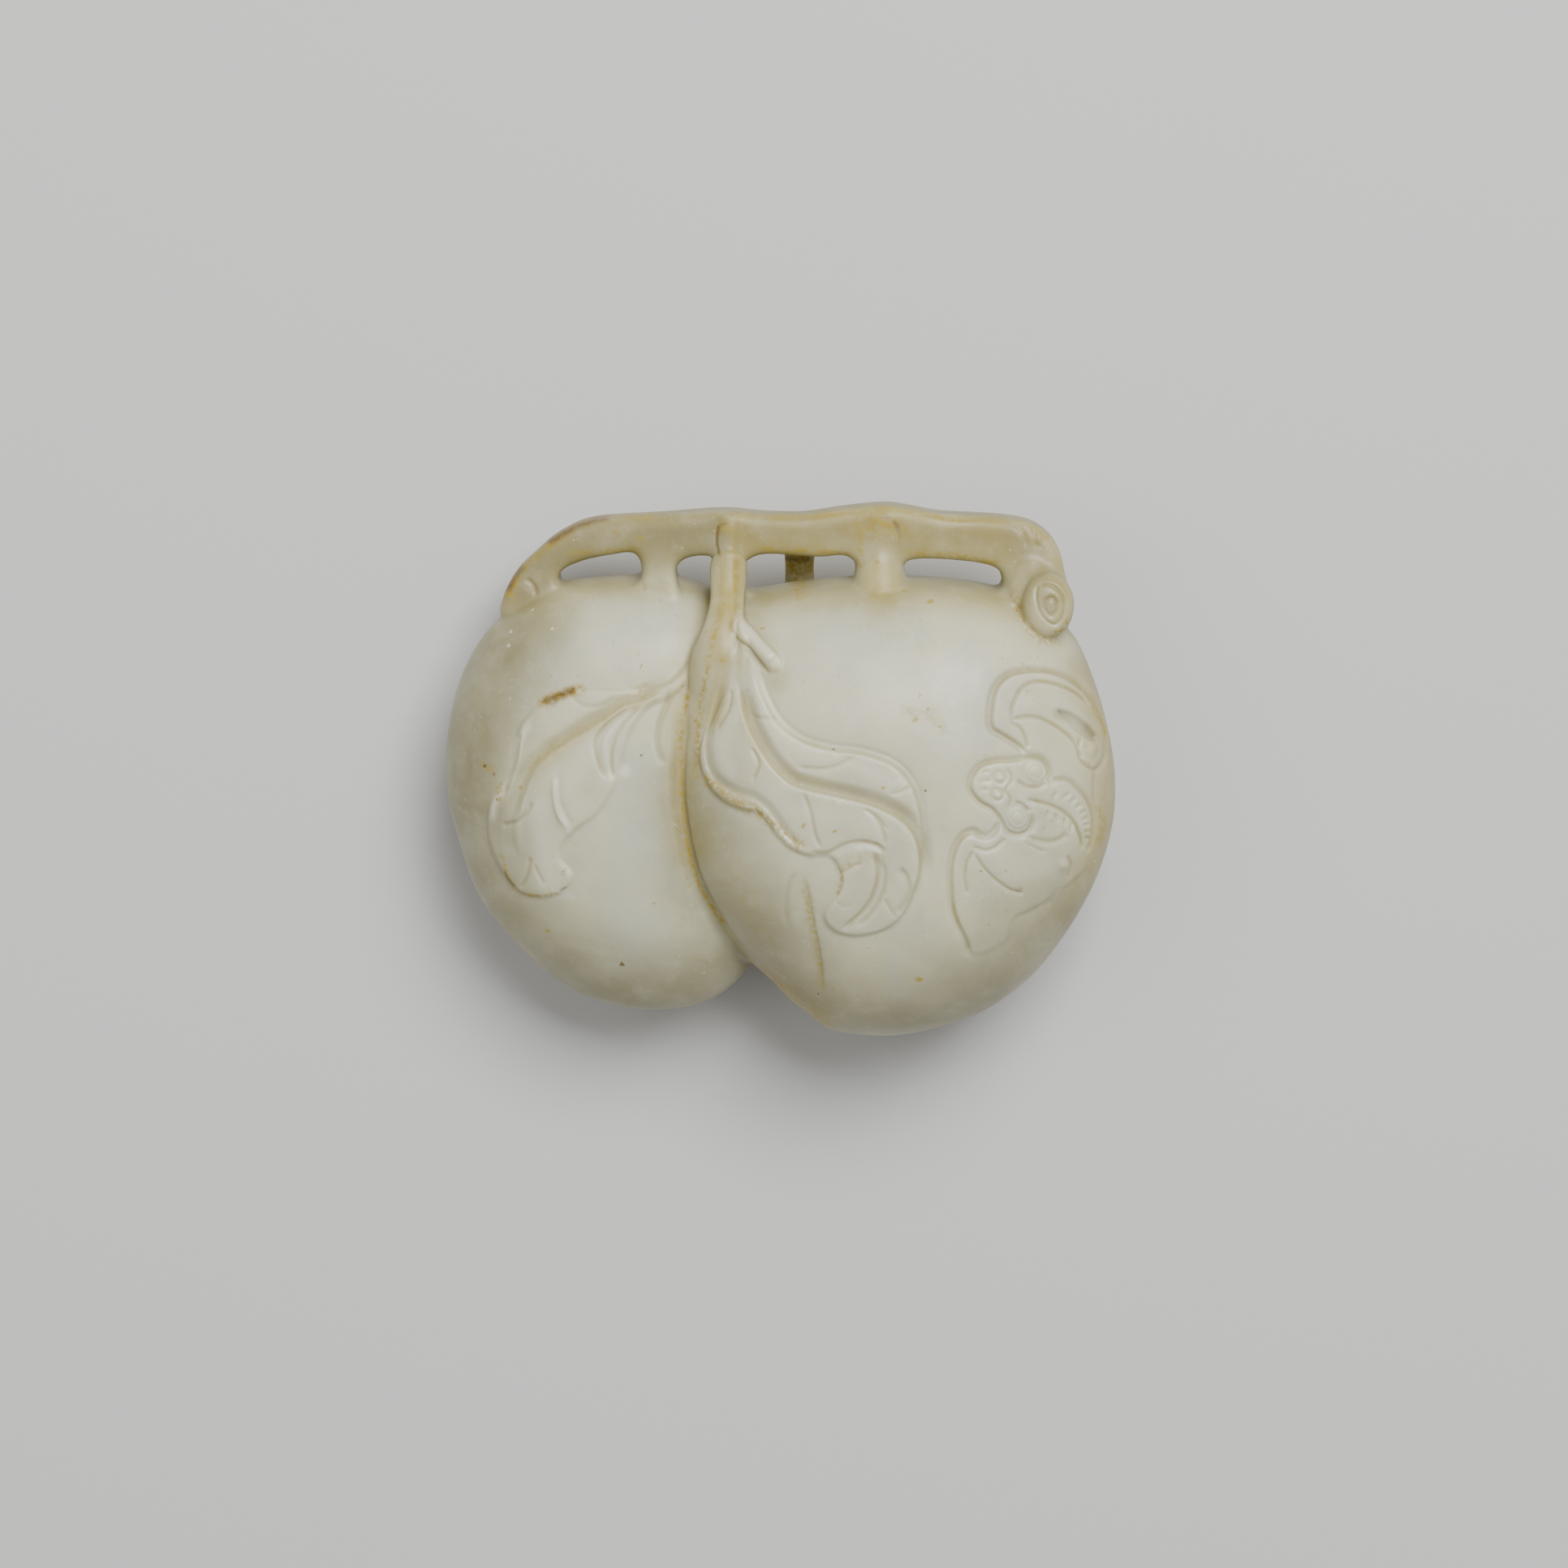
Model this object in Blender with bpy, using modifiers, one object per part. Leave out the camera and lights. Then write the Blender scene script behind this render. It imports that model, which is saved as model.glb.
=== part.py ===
"""A small jade carving of two peaches under an openwork branch, lying on its back."""

import math

import bmesh
import bpy
import numpy as np
from mathutils import Matrix

# Driving sizes in metres
carving_width = 0.060
right_peach_depth = 0.024
left_peach_depth = 0.019
branch_depth = 0.0062
branch_rounding = 0.0010
leaf_height = 0.0006
leaf_edge_sink = 0.0006
leaf_edge_width = 0.0005
bat_height = 0.0003
carved_line_width = 0.0009
carved_line_depth = 0.0005
resting_flat_cut = 0.0004

# How finely the solid is made
blank_voxel = 0.00032
blank_smoothing = 10
branch_strips = 24
triangle_count = 9300
resting_snap = 0.00003

# The carving is drawn from the front on a grid, X to the right and Y down, that is 824 squares wide
# It is drawn as seen from a hand's distance, leaning a little over the branch
drawing_width = 824
drawing_middle = (961, 949.5)
drawing_lean = math.radians(8)
drawing_distance = 0.468
drawing_height = 0.012
square = carving_width / drawing_width
mm = 0.001

# The fruits: each has a middle, and an outline that runs round it as seen from the front
left_peach_middle = (790, 975)
left_peach_outline = [
    (621, 760), (590, 793), (570, 830), (557, 870), (550, 910), (549, 950), (552, 990), (560, 1022),
    (578, 1080), (599, 1121), (637, 1165), (677, 1203), (719, 1228), (760, 1241), (800, 1246), (840, 1244),
    (882, 1230), (914, 1203), (940, 1160), (980, 1100), (1005, 1040), (1012, 960), (990, 870), (950, 790),
    (900, 738), (850, 718), (800, 711), (740, 714), (680, 724),
]
right_peach_middle = (1105, 995)
right_peach_outline = [
    (1217, 724), (1265, 738), (1313, 776), (1333, 806), (1354, 862), (1368, 920), (1373, 970), (1369, 1020),
    (1351, 1080), (1319, 1140), (1273, 1200), (1222, 1240), (1170, 1262), (1110, 1276), (1060, 1276),
    (1017, 1268), (990, 1246), (973, 1234), (945, 1205), (915, 1180), (868, 1140), (828, 1085), (808, 1020),
    (804, 940), (818, 860), (850, 790), (895, 742), (949, 726), (1003, 718), (1060, 714), (1120, 714),
    (1170, 717),
]

# The branch: its outer edge, closed inside the fruits, and the gaps through it
branch_outline = [
    (621, 759), (620, 740), (626, 722), (640, 700), (660, 681), (680, 663), (700, 651), (720, 642),
    (750, 637), (820, 633), (890, 628), (940, 632), (990, 633), (1030, 627), (1087, 621), (1119, 625),
    (1158, 632), (1230, 636), (1272, 645), (1299, 670), (1309, 707), (1317, 743), (1313, 770),
    (1280, 800), (1200, 800), (1080, 790), (950, 800), (800, 790), (680, 800),
]
branch_gaps = [
    [(689, 712), (695, 700), (720, 689), (755, 682), (782, 680), (791, 700), (782, 717), (730, 720),
     (700, 723)],
    [(833, 705), (838, 691), (855, 684), (878, 685), (886, 700), (888, 735), (878, 765), (858, 765),
     (842, 735)],
    [(908, 718), (912, 697), (936, 682), (980, 683), (1010, 685), (1040, 683), (1056, 698), (1048, 718),
     (1003, 725), (960, 730), (929, 728)],
    [(1106, 705), (1115, 690), (1146, 687), (1203, 692), (1228, 701), (1233, 718), (1220, 729), (1194, 725),
     (1146, 722), (1114, 719)],
]

# Round stems and posts: (x, y) on the drawing, then height and radius in millimetres
stems = {
    "front_stem": [(899, 638, 13.4, 1.4), (898, 652, 13.5, 1.4), (896, 690, 13.7, 1.4),
                   (896, 735, 14.8, 1.45), (894, 770, 15.9, 1.95), (890, 808, 16.5, 2.6),
                   (884, 850, 15.9, 2.9), (876, 890, 14.6, 2.4)],
    "twig": [(908, 765, 16.6, 0.8), (930, 797, 18.9, 0.8), (952, 818, 20.2, 0.75)],
    "front_post": [(1085, 634, 12.9, 2.1), (1085, 650, 12.9, 2.1), (1083, 690, 13.0, 2.1),
                   (1083, 735, 14.0, 2.5), (1083, 765, 15.0, 1.8)],
    "right_end": [(1232, 664, 11.0, 1.9), (1258, 684, 12.2, 2.4), (1270, 716, 13.4, 2.7),
                  (1276, 752, 14.6, 2.7)],
    "back_post": [(985, 664, 8.4, 1.6), (984, 700, 6.6, 1.35), (984, 745, 4.6, 1.5), (978, 800, 3.4, 1.4),
                  (966, 850, 3.4, 1.0)],
}

# The cut end of the branch is a round boss with a spiral on it
scroll_middle = (1290, 748)
scroll_radii = (32, 40)
scroll_height = 16.2 * mm
scroll_half_depth = 2.6 * mm
scroll_spiral_turns = 1.6

# The stem spreads and sinks away as it comes down between the leaves
stem_outline = [
    (880, 690), (877, 741), (870, 770), (857, 802), (850, 832), (846, 868), (848, 905), (857, 935),
    (875, 915), (895, 880), (912, 845), (920, 800), (916, 770), (914, 743), (915, 690),
]
stem_sinks = (790, 920)

# Leaves: an outline, and the lines carved on the face
left_leaf_outline = [
    (856, 800), (843, 822), (825, 842), (805, 853), (770, 855), (735, 850), (705, 854), (672, 867),
    (643, 890), (633, 930), (625, 965), (603, 1000), (602, 1035), (620, 1078), (650, 1103), (675, 1108),
    (698, 1100), (704, 1083), (689, 1058), (697, 1034), (725, 1010), (742, 978), (754, 935), (768, 900),
    (790, 872), (820, 862), (850, 838), (864, 812),
]
left_leaf_lines = [
    [(790, 858), (768, 868), (740, 890), (715, 910), (690, 920), (665, 932), (650, 950), (643, 985),
     (637, 1010)],
    [(775, 872), (745, 897), (735, 905), (733, 918), (738, 935), (748, 960)],
    [(682, 955), (684, 990), (688, 1005), (700, 1025)],
    [(640, 1010), (640, 1040), (652, 1065), (650, 1080)],
]
right_leaf_outline = [
    (912, 800), (922, 808), (935, 835), (953, 878), (980, 908), (1030, 923), (1060, 927), (1090, 937),
    (1110, 951), (1127, 982), (1134, 1018), (1137, 1050), (1128, 1095), (1108, 1132), (1085, 1148),
    (1045, 1156), (1015, 1138), (1015, 1120), (1035, 1100), (1036, 1070), (1024, 1054), (990, 1050),
    (965, 1035), (945, 1005), (915, 982), (880, 958), (863, 938), (867, 910), (880, 885), (897, 850),
    (903, 820),
]
right_leaf_lines = [
    [(912, 830), (915, 860), (925, 900), (940, 930), (960, 955), (980, 973), (1000, 984), (1055, 995),
     (1105, 1017), (1125, 1038), (1133, 1065)],
    [(1000, 1040), (1025, 1048), (1050, 1040), (1070, 1042), (1088, 1055), (1088, 1085), (1075, 1120),
     (1045, 1142)],
    [(990, 980), (998, 1010), (1003, 1035)],
    [(985, 945), (1020, 947), (1052, 935)],
    [(895, 868), (880, 903)],
    [(925, 905), (934, 935), (928, 962)],
]

# The bat on the right fruit: its outline, then its wing, head and body lines
bat_outline = [
    (1200, 958), (1225, 944), (1255, 938), (1240, 912), (1222, 900), (1223, 865), (1238, 840), (1265, 831),
    (1295, 834), (1335, 860), (1355, 895), (1358, 930), (1342, 962), (1345, 1010), (1340, 1065), (1312, 1090),
    (1262, 1103), (1236, 1120), (1222, 1150), (1193, 1180), (1176, 1135), (1169, 1100), (1170, 1062),
    (1182, 1036), (1205, 1033), (1226, 1026), (1215, 998), (1195, 976),
]
bat_lines = [
    [(1262, 937), (1247, 916), (1222, 900), (1223, 865), (1238, 840), (1265, 831), (1295, 834), (1335, 860),
     (1355, 895), (1358, 925), (1345, 953)],
    [(1243, 890), (1250, 860), (1268, 846), (1305, 850), (1338, 871)],
    [(1240, 893), (1275, 886), (1300, 897), (1322, 918), (1340, 950)],
    [(1303, 880), (1328, 892), (1350, 918)],
    [(1290, 965), (1260, 940), (1210, 950), (1195, 968), (1200, 985), (1228, 1008), (1240, 1022)],
    [(1300, 962), (1332, 980), (1345, 1010), (1346, 1035)],
    [(1262, 992), (1290, 996), (1315, 1012), (1328, 1040)],
    [(1262, 1030), (1290, 1038), (1318, 1022)],
    [(1230, 1018), (1218, 1036), (1197, 1029), (1180, 1038), (1170, 1062), (1170, 1105), (1193, 1180)],
    [(1197, 1045), (1215, 1050), (1237, 1036)],
    [(1199, 1054), (1189, 1080), (1191, 1110)],
    [(1199, 1055), (1215, 1078), (1240, 1100), (1262, 1103)],
    [(1345, 1062), (1325, 1088), (1290, 1112), (1250, 1130), (1236, 1172)],
]
bat_ears = [(1275, 953), (1253, 1009)]
bat_eyes = [(1231, 961), (1228, 984)]
bat_ear_radius = 12
bat_eye_radius = 7

# The fruits' own clefts, and the valley where they meet
cleft_lines = [
    [(984, 1075), (972, 1092), (964, 1120), (966, 1140), (974, 1160)],
    [(985, 1078), (992, 1105), (1000, 1140), (1006, 1170), (1010, 1205), (1003, 1250)],
]
valley_line = [
    (843, 860), (836, 940), (838, 1000), (856, 1080), (890, 1145), (924, 1192),
]

# The back is plainer: one leaf, and a cleft on each fruit
back_leaf_outline = [
    (966, 838), (1000, 820), (1050, 812), (1110, 822), (1170, 852), (1216, 900), (1170, 898), (1110, 892),
    (1050, 884), (1000, 868),
]
back_lines = [
    [(975, 846), (1050, 846), (1120, 858), (1190, 888)],
    [(985, 1080), (1000, 1130), (1010, 1200), (1003, 1250)],
    [(905, 742), (880, 850), (880, 960), (892, 1080), (918, 1180)],
]


def on_drawing(points):
    """Drawing squares to metres from the drawing's middle, Y up."""
    grid = np.asarray(points, float)[:, :2]
    return (grid - drawing_middle) * (square, -square)


def at_height(points, height):
    """Where points of the drawing lie in the part's frame, once their height is known."""
    drawn = on_drawing(points)
    above = height - drawing_height
    cosine = math.cos(drawing_lean)
    sine = math.sin(drawing_lean)
    y = drawn[:, 1] * (drawing_distance - above * cosine) + drawing_distance * above * sine
    y /= drawing_distance * cosine + drawn[:, 1] * sine
    x = drawn[:, 0] * (drawing_distance - above * cosine - y * sine) / drawing_distance
    return np.column_stack([x, y])


def seen_in_drawing(places):
    """Where points in space show on the drawing, in metres from its middle."""
    heights = places[:, 2] - drawing_height
    nearer = heights * math.cos(drawing_lean) + places[:, 1] * math.sin(drawing_lean)
    upward = places[:, 1] * math.cos(drawing_lean) - heights * math.sin(drawing_lean)
    scale = drawing_distance / (drawing_distance - nearer)
    return np.column_stack([places[:, 0] * scale, upward * scale])


def smooth_curve(points, closed=False, steps=5):
    """A Catmull-Rom curve through the points."""
    points = np.asarray(points, float)
    if closed:
        padded = np.vstack([points[-1], points, points[:2]])
    else:
        padded = np.vstack([2 * points[0] - points[1], points, 2 * points[-1] - points[-2]])
    t = np.linspace(0, 1, steps, endpoint=False)[:, None]
    spans = []
    for a, b, c, d in zip(padded, padded[1:], padded[2:], padded[3:]):
        bend = (2 * a - 5 * b + 4 * c - d) * t**2 + (3 * b - a - 3 * c + d) * t**3
        spans.append(0.5 * (2 * b + (c - a) * t + bend))
    if not closed:
        spans.append(points[-1:])
    return np.vstack(spans)


def distance_to_curve(places, curve, closed):
    """How far each place is from the curve, in the plane of the drawing."""
    ends = np.roll(curve, -1, axis=0) if closed else curve[1:]
    starts = curve if closed else curve[:-1]
    nearest = np.full(len(places), np.inf)
    for start, end in zip(starts, ends):
        along = end - start
        share = np.clip((places - start) @ along / max(along @ along, 1e-18), 0, 1)
        nearest = np.minimum(nearest, np.hypot(*(places - start - share[:, None] * along).T))
    return nearest


def is_inside(places, curve):
    """Whether each place lies within the closed curve."""
    within = np.zeros(len(places), bool)
    for (x0, y0), (x1, y1) in zip(curve, np.roll(curve, -1, axis=0)):
        if y0 == y1:
            continue
        crosses = (y0 > places[:, 1]) != (y1 > places[:, 1])
        within ^= crosses & (places[:, 0] < x0 + (places[:, 1] - y0) * (x1 - x0) / (y1 - y0))
    return within


def smooth_step(low, high, value):
    share = np.clip((value - low) / (high - low), 0, 1)
    return share * share * (3 - 2 * share)


def groove(places, points, width, depth, closed=False):
    """The depth that a carved line takes at each place."""
    curve = smooth_curve(on_drawing(points), closed)
    low = curve.min(axis=0) - width
    high = curve.max(axis=0) + width
    near = np.all((places > low) & (places < high), axis=1)
    taken = np.zeros(len(places))
    share = np.clip(distance_to_curve(places[near], curve, closed) / (width / 2), 0, 1)
    taken[near] = depth * (1 - share**2) ** 2
    return taken


def inward_distance(places, points):
    """How far inside a closed outline each place is, negative outside."""
    curve = smooth_curve(on_drawing(points), closed=True)
    distance = distance_to_curve(places, curve, closed=True)
    return np.where(is_inside(places, curve), distance, -distance)


def plateau(places, outlines, height, sink, edge):
    """The height of an area raised within any of the outlines, with the ground sunk along its edge."""
    inward = np.max([inward_distance(places, points) for points in outlines], axis=0)
    raised = height * smooth_step(-edge / 2, edge / 2, inward)
    sunk = sink * np.exp(-np.abs(inward) / (2 * edge)) * (1 - smooth_step(-edge / 2, edge / 2, inward))
    return raised - sunk


def spiral_points(middle, radii, turns):
    """A spiral from the rim of the cut branch end to its heart."""
    points = []
    for step in range(int(turns * 16) + 1):
        angle = step / 16 * 2 * math.pi
        share = 0.72 - 0.6 * step / (turns * 16)
        across = radii[0] * share * math.cos(angle)
        down = -radii[1] * share * math.sin(angle)
        points.append((middle[0] + across, middle[1] + down))
    return points


def ring_points(middle, radius):
    return [
        (middle[0] + radius * math.cos(turn * math.pi / 4), middle[1] + radius * math.sin(turn * math.pi / 4))
        for turn in range(8)
    ]


def front_relief(places):
    """How far the carved front stands above the blank at each place."""
    leaves = [left_leaf_outline, right_leaf_outline]
    raised = plateau(places, leaves, leaf_height, leaf_edge_sink, leaf_edge_width)
    half_edge = leaf_edge_width / 2
    on_stem = smooth_step(-half_edge, half_edge, inward_distance(places, stem_outline))
    sinks_from, sinks_to = [(row - drawing_middle[1]) * square for row in stem_sinks]
    stem_rise = leaf_height * (1 - smooth_step(sinks_from, sinks_to, -places[:, 1]))
    raised += on_stem * (np.maximum(raised, stem_rise) - raised)
    raised += plateau(places, [bat_outline], bat_height, 0, leaf_edge_width)
    cut = np.zeros(len(places))
    for line in left_leaf_lines + right_leaf_lines + bat_lines:
        cut = np.maximum(cut, groove(places, line, carved_line_width, carved_line_depth))
    for middle in bat_ears:
        cut = np.maximum(cut, groove(places, ring_points(middle, bat_ear_radius), carved_line_width / 2,
                                     carved_line_depth, closed=True))
    for middle in bat_eyes:
        cut = np.maximum(cut, groove(places, ring_points(middle, bat_eye_radius), carved_line_width / 2,
                                     carved_line_depth, closed=True))
    for line in cleft_lines:
        cut = np.maximum(cut, groove(places, line, 1.6 * carved_line_width, 1.6 * carved_line_depth))
    cut = np.maximum(cut, groove(places, valley_line, 1.5 * carved_line_width, carved_line_depth))
    spiral = spiral_points(scroll_middle, scroll_radii, scroll_spiral_turns)
    cut = np.maximum(cut, groove(places, spiral, 0.8 * carved_line_width, carved_line_depth))
    return raised - cut


def back_relief(places):
    """How far the carved back stands out from the blank at each place."""
    raised = plateau(places, [back_leaf_outline], leaf_height, leaf_edge_sink, leaf_edge_width)
    cut = np.zeros(len(places))
    for line in back_lines:
        cut = np.maximum(cut, groove(places, line, 1.5 * carved_line_width, carved_line_depth))
    return raised - cut


def mesh_object(name, mesh_data):
    """A new mesh object from a bmesh, which is freed."""
    mesh = bpy.data.meshes.new(name)
    mesh_data.to_mesh(mesh)
    mesh_data.free()
    made = bpy.data.objects.new(name, mesh)
    bpy.context.scene.collection.objects.link(made)
    return made


def make_peach(name, middle, outline, depth, fullness=2.3):
    """A ball drawn out to the fruit's outline, and flattened front to back."""
    middle = at_height([middle], depth / 2)[0]
    spokes = smooth_curve(at_height(outline, depth / 2), closed=True) - middle
    angles = np.arctan2(spokes[:, 1], spokes[:, 0])
    radii = np.hypot(spokes[:, 0], spokes[:, 1])
    order = np.argsort(angles)
    ball = bmesh.new()
    bmesh.ops.create_icosphere(ball, subdivisions=6, radius=1)
    unit = np.array([vertex.co for vertex in ball.verts])
    around = np.arctan2(unit[:, 1], unit[:, 0])
    radius = np.interp(around, angles[order], radii[order], period=2 * math.pi)
    flat = np.hypot(unit[:, 0], unit[:, 1])
    swell = (flat**fullness + np.abs(unit[:, 2]) ** fullness) ** (-1 / fullness)
    across = middle + unit[:, :2] * (swell * radius)[:, None]
    heights = depth / 2 - resting_flat_cut + unit[:, 2] * swell * depth / 2
    for vertex, (x, y), z in zip(ball.verts, across, heights):
        vertex.co = (x, y, z)
    return mesh_object(name, ball)


def branch_height(x):
    """The middle height of the branch along its length, which comes forward to the right."""
    share = x / carving_width + 0.5
    return (8.2 + 3.4 * smooth_step(0.05, 0.5, share) + 0.6 * smooth_step(0.6, 1, share)) * mm


def make_branch():
    """A flat outline with gaps, thickened, rounded and bent along its length."""
    curve = bpy.data.curves.new("branch", "CURVE")
    curve.dimensions = "2D"
    curve.fill_mode = "BOTH"
    for points in [branch_outline] + branch_gaps:
        edge_height = branch_height(on_drawing(points)[:, 0]) - branch_depth / 4
        path = smooth_curve(at_height(points, edge_height), closed=True, steps=3)
        spline = curve.splines.new("POLY")
        spline.points.add(len(path) - 1)
        spline.use_cyclic_u = True
        for point, (x, y) in zip(spline.points, path):
            point.co = (x, y, 0, 1)
    curve.extrude = branch_depth / 2 - branch_rounding
    curve.bevel_depth = branch_rounding
    curve.bevel_resolution = 3
    curve.offset = -branch_rounding
    drawn = bpy.data.objects.new("branch_curve", curve)
    bpy.context.scene.collection.objects.link(drawn)
    made = mesh_from_curve("branch", drawn)
    cut_across(made)
    for vertex in made.data.vertices:
        vertex.co.z += branch_height(vertex.co.x)
    return made


def cut_across(target):
    """Edges across the branch at short steps, so that its long faces can bend with it."""
    strips = bmesh.new()
    strips.from_mesh(target.data)
    for step in range(1, branch_strips):
        x = (step / branch_strips - 0.5) * carving_width
        whole = strips.verts[:] + strips.edges[:] + strips.faces[:]
        bmesh.ops.bisect_plane(strips, geom=whole, plane_co=(x, 0, 0), plane_no=(1, 0, 0), dist=1e-7)
    strips.to_mesh(target.data)
    strips.free()


def mesh_from_curve(name, drawn):
    """The curve object's welded mesh, as a new object in its place."""
    bpy.context.view_layer.update()
    evaluated = drawn.evaluated_get(bpy.context.evaluated_depsgraph_get())
    mesh = bpy.data.meshes.new_from_object(evaluated)
    made = bpy.data.objects.new(name, mesh)
    made.matrix_world = drawn.matrix_world
    bpy.context.scene.collection.objects.link(made)
    bpy.data.objects.remove(drawn)
    welded = bmesh.new()
    welded.from_mesh(mesh)
    bmesh.ops.remove_doubles(welded, verts=welded.verts, dist=1e-6)
    bmesh.ops.recalc_face_normals(welded, faces=welded.faces)
    welded.to_mesh(mesh)
    welded.free()
    return made


def make_stem(name, points):
    """A round stem of changing radius along a smooth path."""
    heights = np.array([(z * mm, radius * mm) for _, _, z, radius in points])
    flat = at_height(points, heights[:, 0])
    path = smooth_curve(np.hstack([flat, heights]), steps=6)
    curve = bpy.data.curves.new(name, "CURVE")
    curve.dimensions = "3D"
    curve.bevel_depth = 1.0
    curve.bevel_resolution = 4
    curve.use_fill_caps = True
    spline = curve.splines.new("POLY")
    spline.points.add(len(path) - 1)
    for point, (x, y, z, radius) in zip(spline.points, path):
        point.co = (x, y, z, 1)
        point.radius = radius
    drawn = bpy.data.objects.new(name + "_curve", curve)
    bpy.context.scene.collection.objects.link(drawn)
    return mesh_from_curve(name, drawn)


def make_scroll():
    """The boss at the cut end of the branch, a ball flattened at the front."""
    x, y = at_height([scroll_middle], scroll_height)[0]
    boss = bmesh.new()
    bmesh.ops.create_uvsphere(boss, u_segments=32, v_segments=20, radius=1)
    for vertex in boss.verts:
        flat = math.hypot(vertex.co.x, vertex.co.y)
        swell = (flat**3.2 + abs(vertex.co.z) ** 3.2) ** (-1 / 3.2)
        vertex.co = (
            x + vertex.co.x * swell * scroll_radii[0] * square,
            y + vertex.co.y * swell * scroll_radii[1] * square,
            scroll_height + vertex.co.z * swell * scroll_half_depth,
        )
    return mesh_object("scroll", boss)


def fuse_blank(pieces):
    """One closed skin round all the overlapping shapes, with soft inner corners."""
    joined = bmesh.new()
    for piece in pieces:
        joined.from_mesh(piece.data)
        bpy.data.objects.remove(piece)
    blank = mesh_object("double_peach_carving", joined)
    remesh = blank.modifiers.new("one_skin", "REMESH")
    remesh.mode = "VOXEL"
    remesh.voxel_size = blank_voxel
    soften = blank.modifiers.new("soften", "SMOOTH")
    soften.factor = 0.5
    soften.iterations = blank_smoothing
    apply_modifiers(blank)
    return blank


def apply_modifiers(target):
    bpy.context.view_layer.update()
    evaluated = target.evaluated_get(bpy.context.evaluated_depsgraph_get())
    mesh = bpy.data.meshes.new_from_object(evaluated)
    target.modifiers.clear()
    target.data = mesh


def carve(blank):
    """Move the skin in and out by the relief drawn on each side, and level its underside."""
    mesh = blank.data
    count = len(mesh.vertices)
    places = np.empty(count * 3)
    normals = np.empty(count * 3)
    mesh.vertices.foreach_get("co", places)
    mesh.vertices.foreach_get("normal", normals)
    places = places.reshape(-1, 3)
    normals = normals.reshape(-1, 3)
    facing = normals[:, 2]
    front = facing > 0
    back = facing < 0
    moved = np.zeros(count)
    drawn = seen_in_drawing(places[front])
    moved[front] = front_relief(drawn) * smooth_step(0.05, 0.3, facing[front])
    moved[back] = back_relief(places[back, :2]) * smooth_step(0.05, 0.3, -facing[back])
    places += normals * moved[:, None]
    places[:, 2] = np.maximum(places[:, 2], 0)
    mesh.vertices.foreach_set("co", places.ravel())
    mesh.update()


def thin_out(target):
    """Fewer, larger triangles where the surface is plain, thinned at a thousand times the size."""
    target.data.transform(Matrix.Scale(1 / mm, 4))
    decimate = target.modifiers.new("fewer_triangles", "DECIMATE")
    decimate.ratio = triangle_count / (2 * len(target.data.polygons))
    apply_modifiers(target)
    target.data.transform(Matrix.Scale(mm, 4))


def settle(target):
    """Set the two resting flats exactly on the ground, and the carving's middle over the origin."""
    places = np.empty(len(target.data.vertices) * 3)
    target.data.vertices.foreach_get("co", places)
    places = places.reshape(-1, 3)
    places[places[:, 2] < resting_snap, 2] = 0
    places[:, :2] -= (places[:, :2].min(axis=0) + places[:, :2].max(axis=0)) / 2
    target.data.vertices.foreach_set("co", places.ravel())
    target.data.update()


def jade_material():
    material = bpy.data.materials.new("pale_jade")
    material.use_nodes = True
    shader = material.node_tree.nodes["Principled BSDF"]
    shader.inputs["Base Color"].default_value = (0.56, 0.56, 0.46, 1)
    shader.inputs["Roughness"].default_value = 0.4
    shader.inputs["Metallic"].default_value = 0
    return material


def main():
    for existing in list(bpy.data.objects):
        bpy.data.objects.remove(existing)
    pieces = [
        make_peach("left_peach", left_peach_middle, left_peach_outline, left_peach_depth),
        make_peach("right_peach", right_peach_middle, right_peach_outline, right_peach_depth),
        make_branch(),
        make_scroll(),
    ]
    pieces += [make_stem(name, points) for name, points in stems.items()]
    carving = fuse_blank(pieces)
    carve(carving)
    thin_out(carving)
    settle(carving)
    carving.data.materials.clear()
    carving.data.materials.append(jade_material())
    carving.data.shade_smooth()
    collection = bpy.data.collections.new("jade_carving")
    bpy.context.scene.collection.children.link(collection)
    collection.objects.link(carving)
    bpy.context.scene.collection.objects.unlink(carving)


main()
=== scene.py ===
import math
import bmesh
import bpy
import numpy as np
from mathutils import Matrix, Vector


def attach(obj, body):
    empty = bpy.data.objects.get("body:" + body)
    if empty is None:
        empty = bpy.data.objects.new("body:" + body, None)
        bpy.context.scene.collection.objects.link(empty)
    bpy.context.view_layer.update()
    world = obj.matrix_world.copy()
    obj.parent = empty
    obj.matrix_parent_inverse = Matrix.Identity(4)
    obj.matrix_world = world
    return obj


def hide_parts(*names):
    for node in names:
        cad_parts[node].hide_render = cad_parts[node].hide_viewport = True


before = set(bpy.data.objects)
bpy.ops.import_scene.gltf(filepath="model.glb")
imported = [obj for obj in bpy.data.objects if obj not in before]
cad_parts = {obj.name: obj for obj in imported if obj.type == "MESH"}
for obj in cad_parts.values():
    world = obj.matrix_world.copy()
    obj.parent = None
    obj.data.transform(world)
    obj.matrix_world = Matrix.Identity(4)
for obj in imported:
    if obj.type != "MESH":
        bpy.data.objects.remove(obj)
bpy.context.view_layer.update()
mm = 0.001

# The carving is drawn on a square grid, X to the right and Y down, as seen leaning a little over the branch
drawing = {
    "squaresAcross": 824,
    "middle": (961, 949.5),
    "carvingWidth": 0.060,
    "lean": math.radians(8),
    "distance": 0.468,
    "height": 0.012,
}
square = drawing["carvingWidth"] / drawing["squaresAcross"]

meshing = {
    "voxel": 0.16 * mm,
    "softening": 40,
    "softeningFactor": 0.5,
    "triangles": 186000,
    "restingCut": 0.4 * mm,
}

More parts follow.
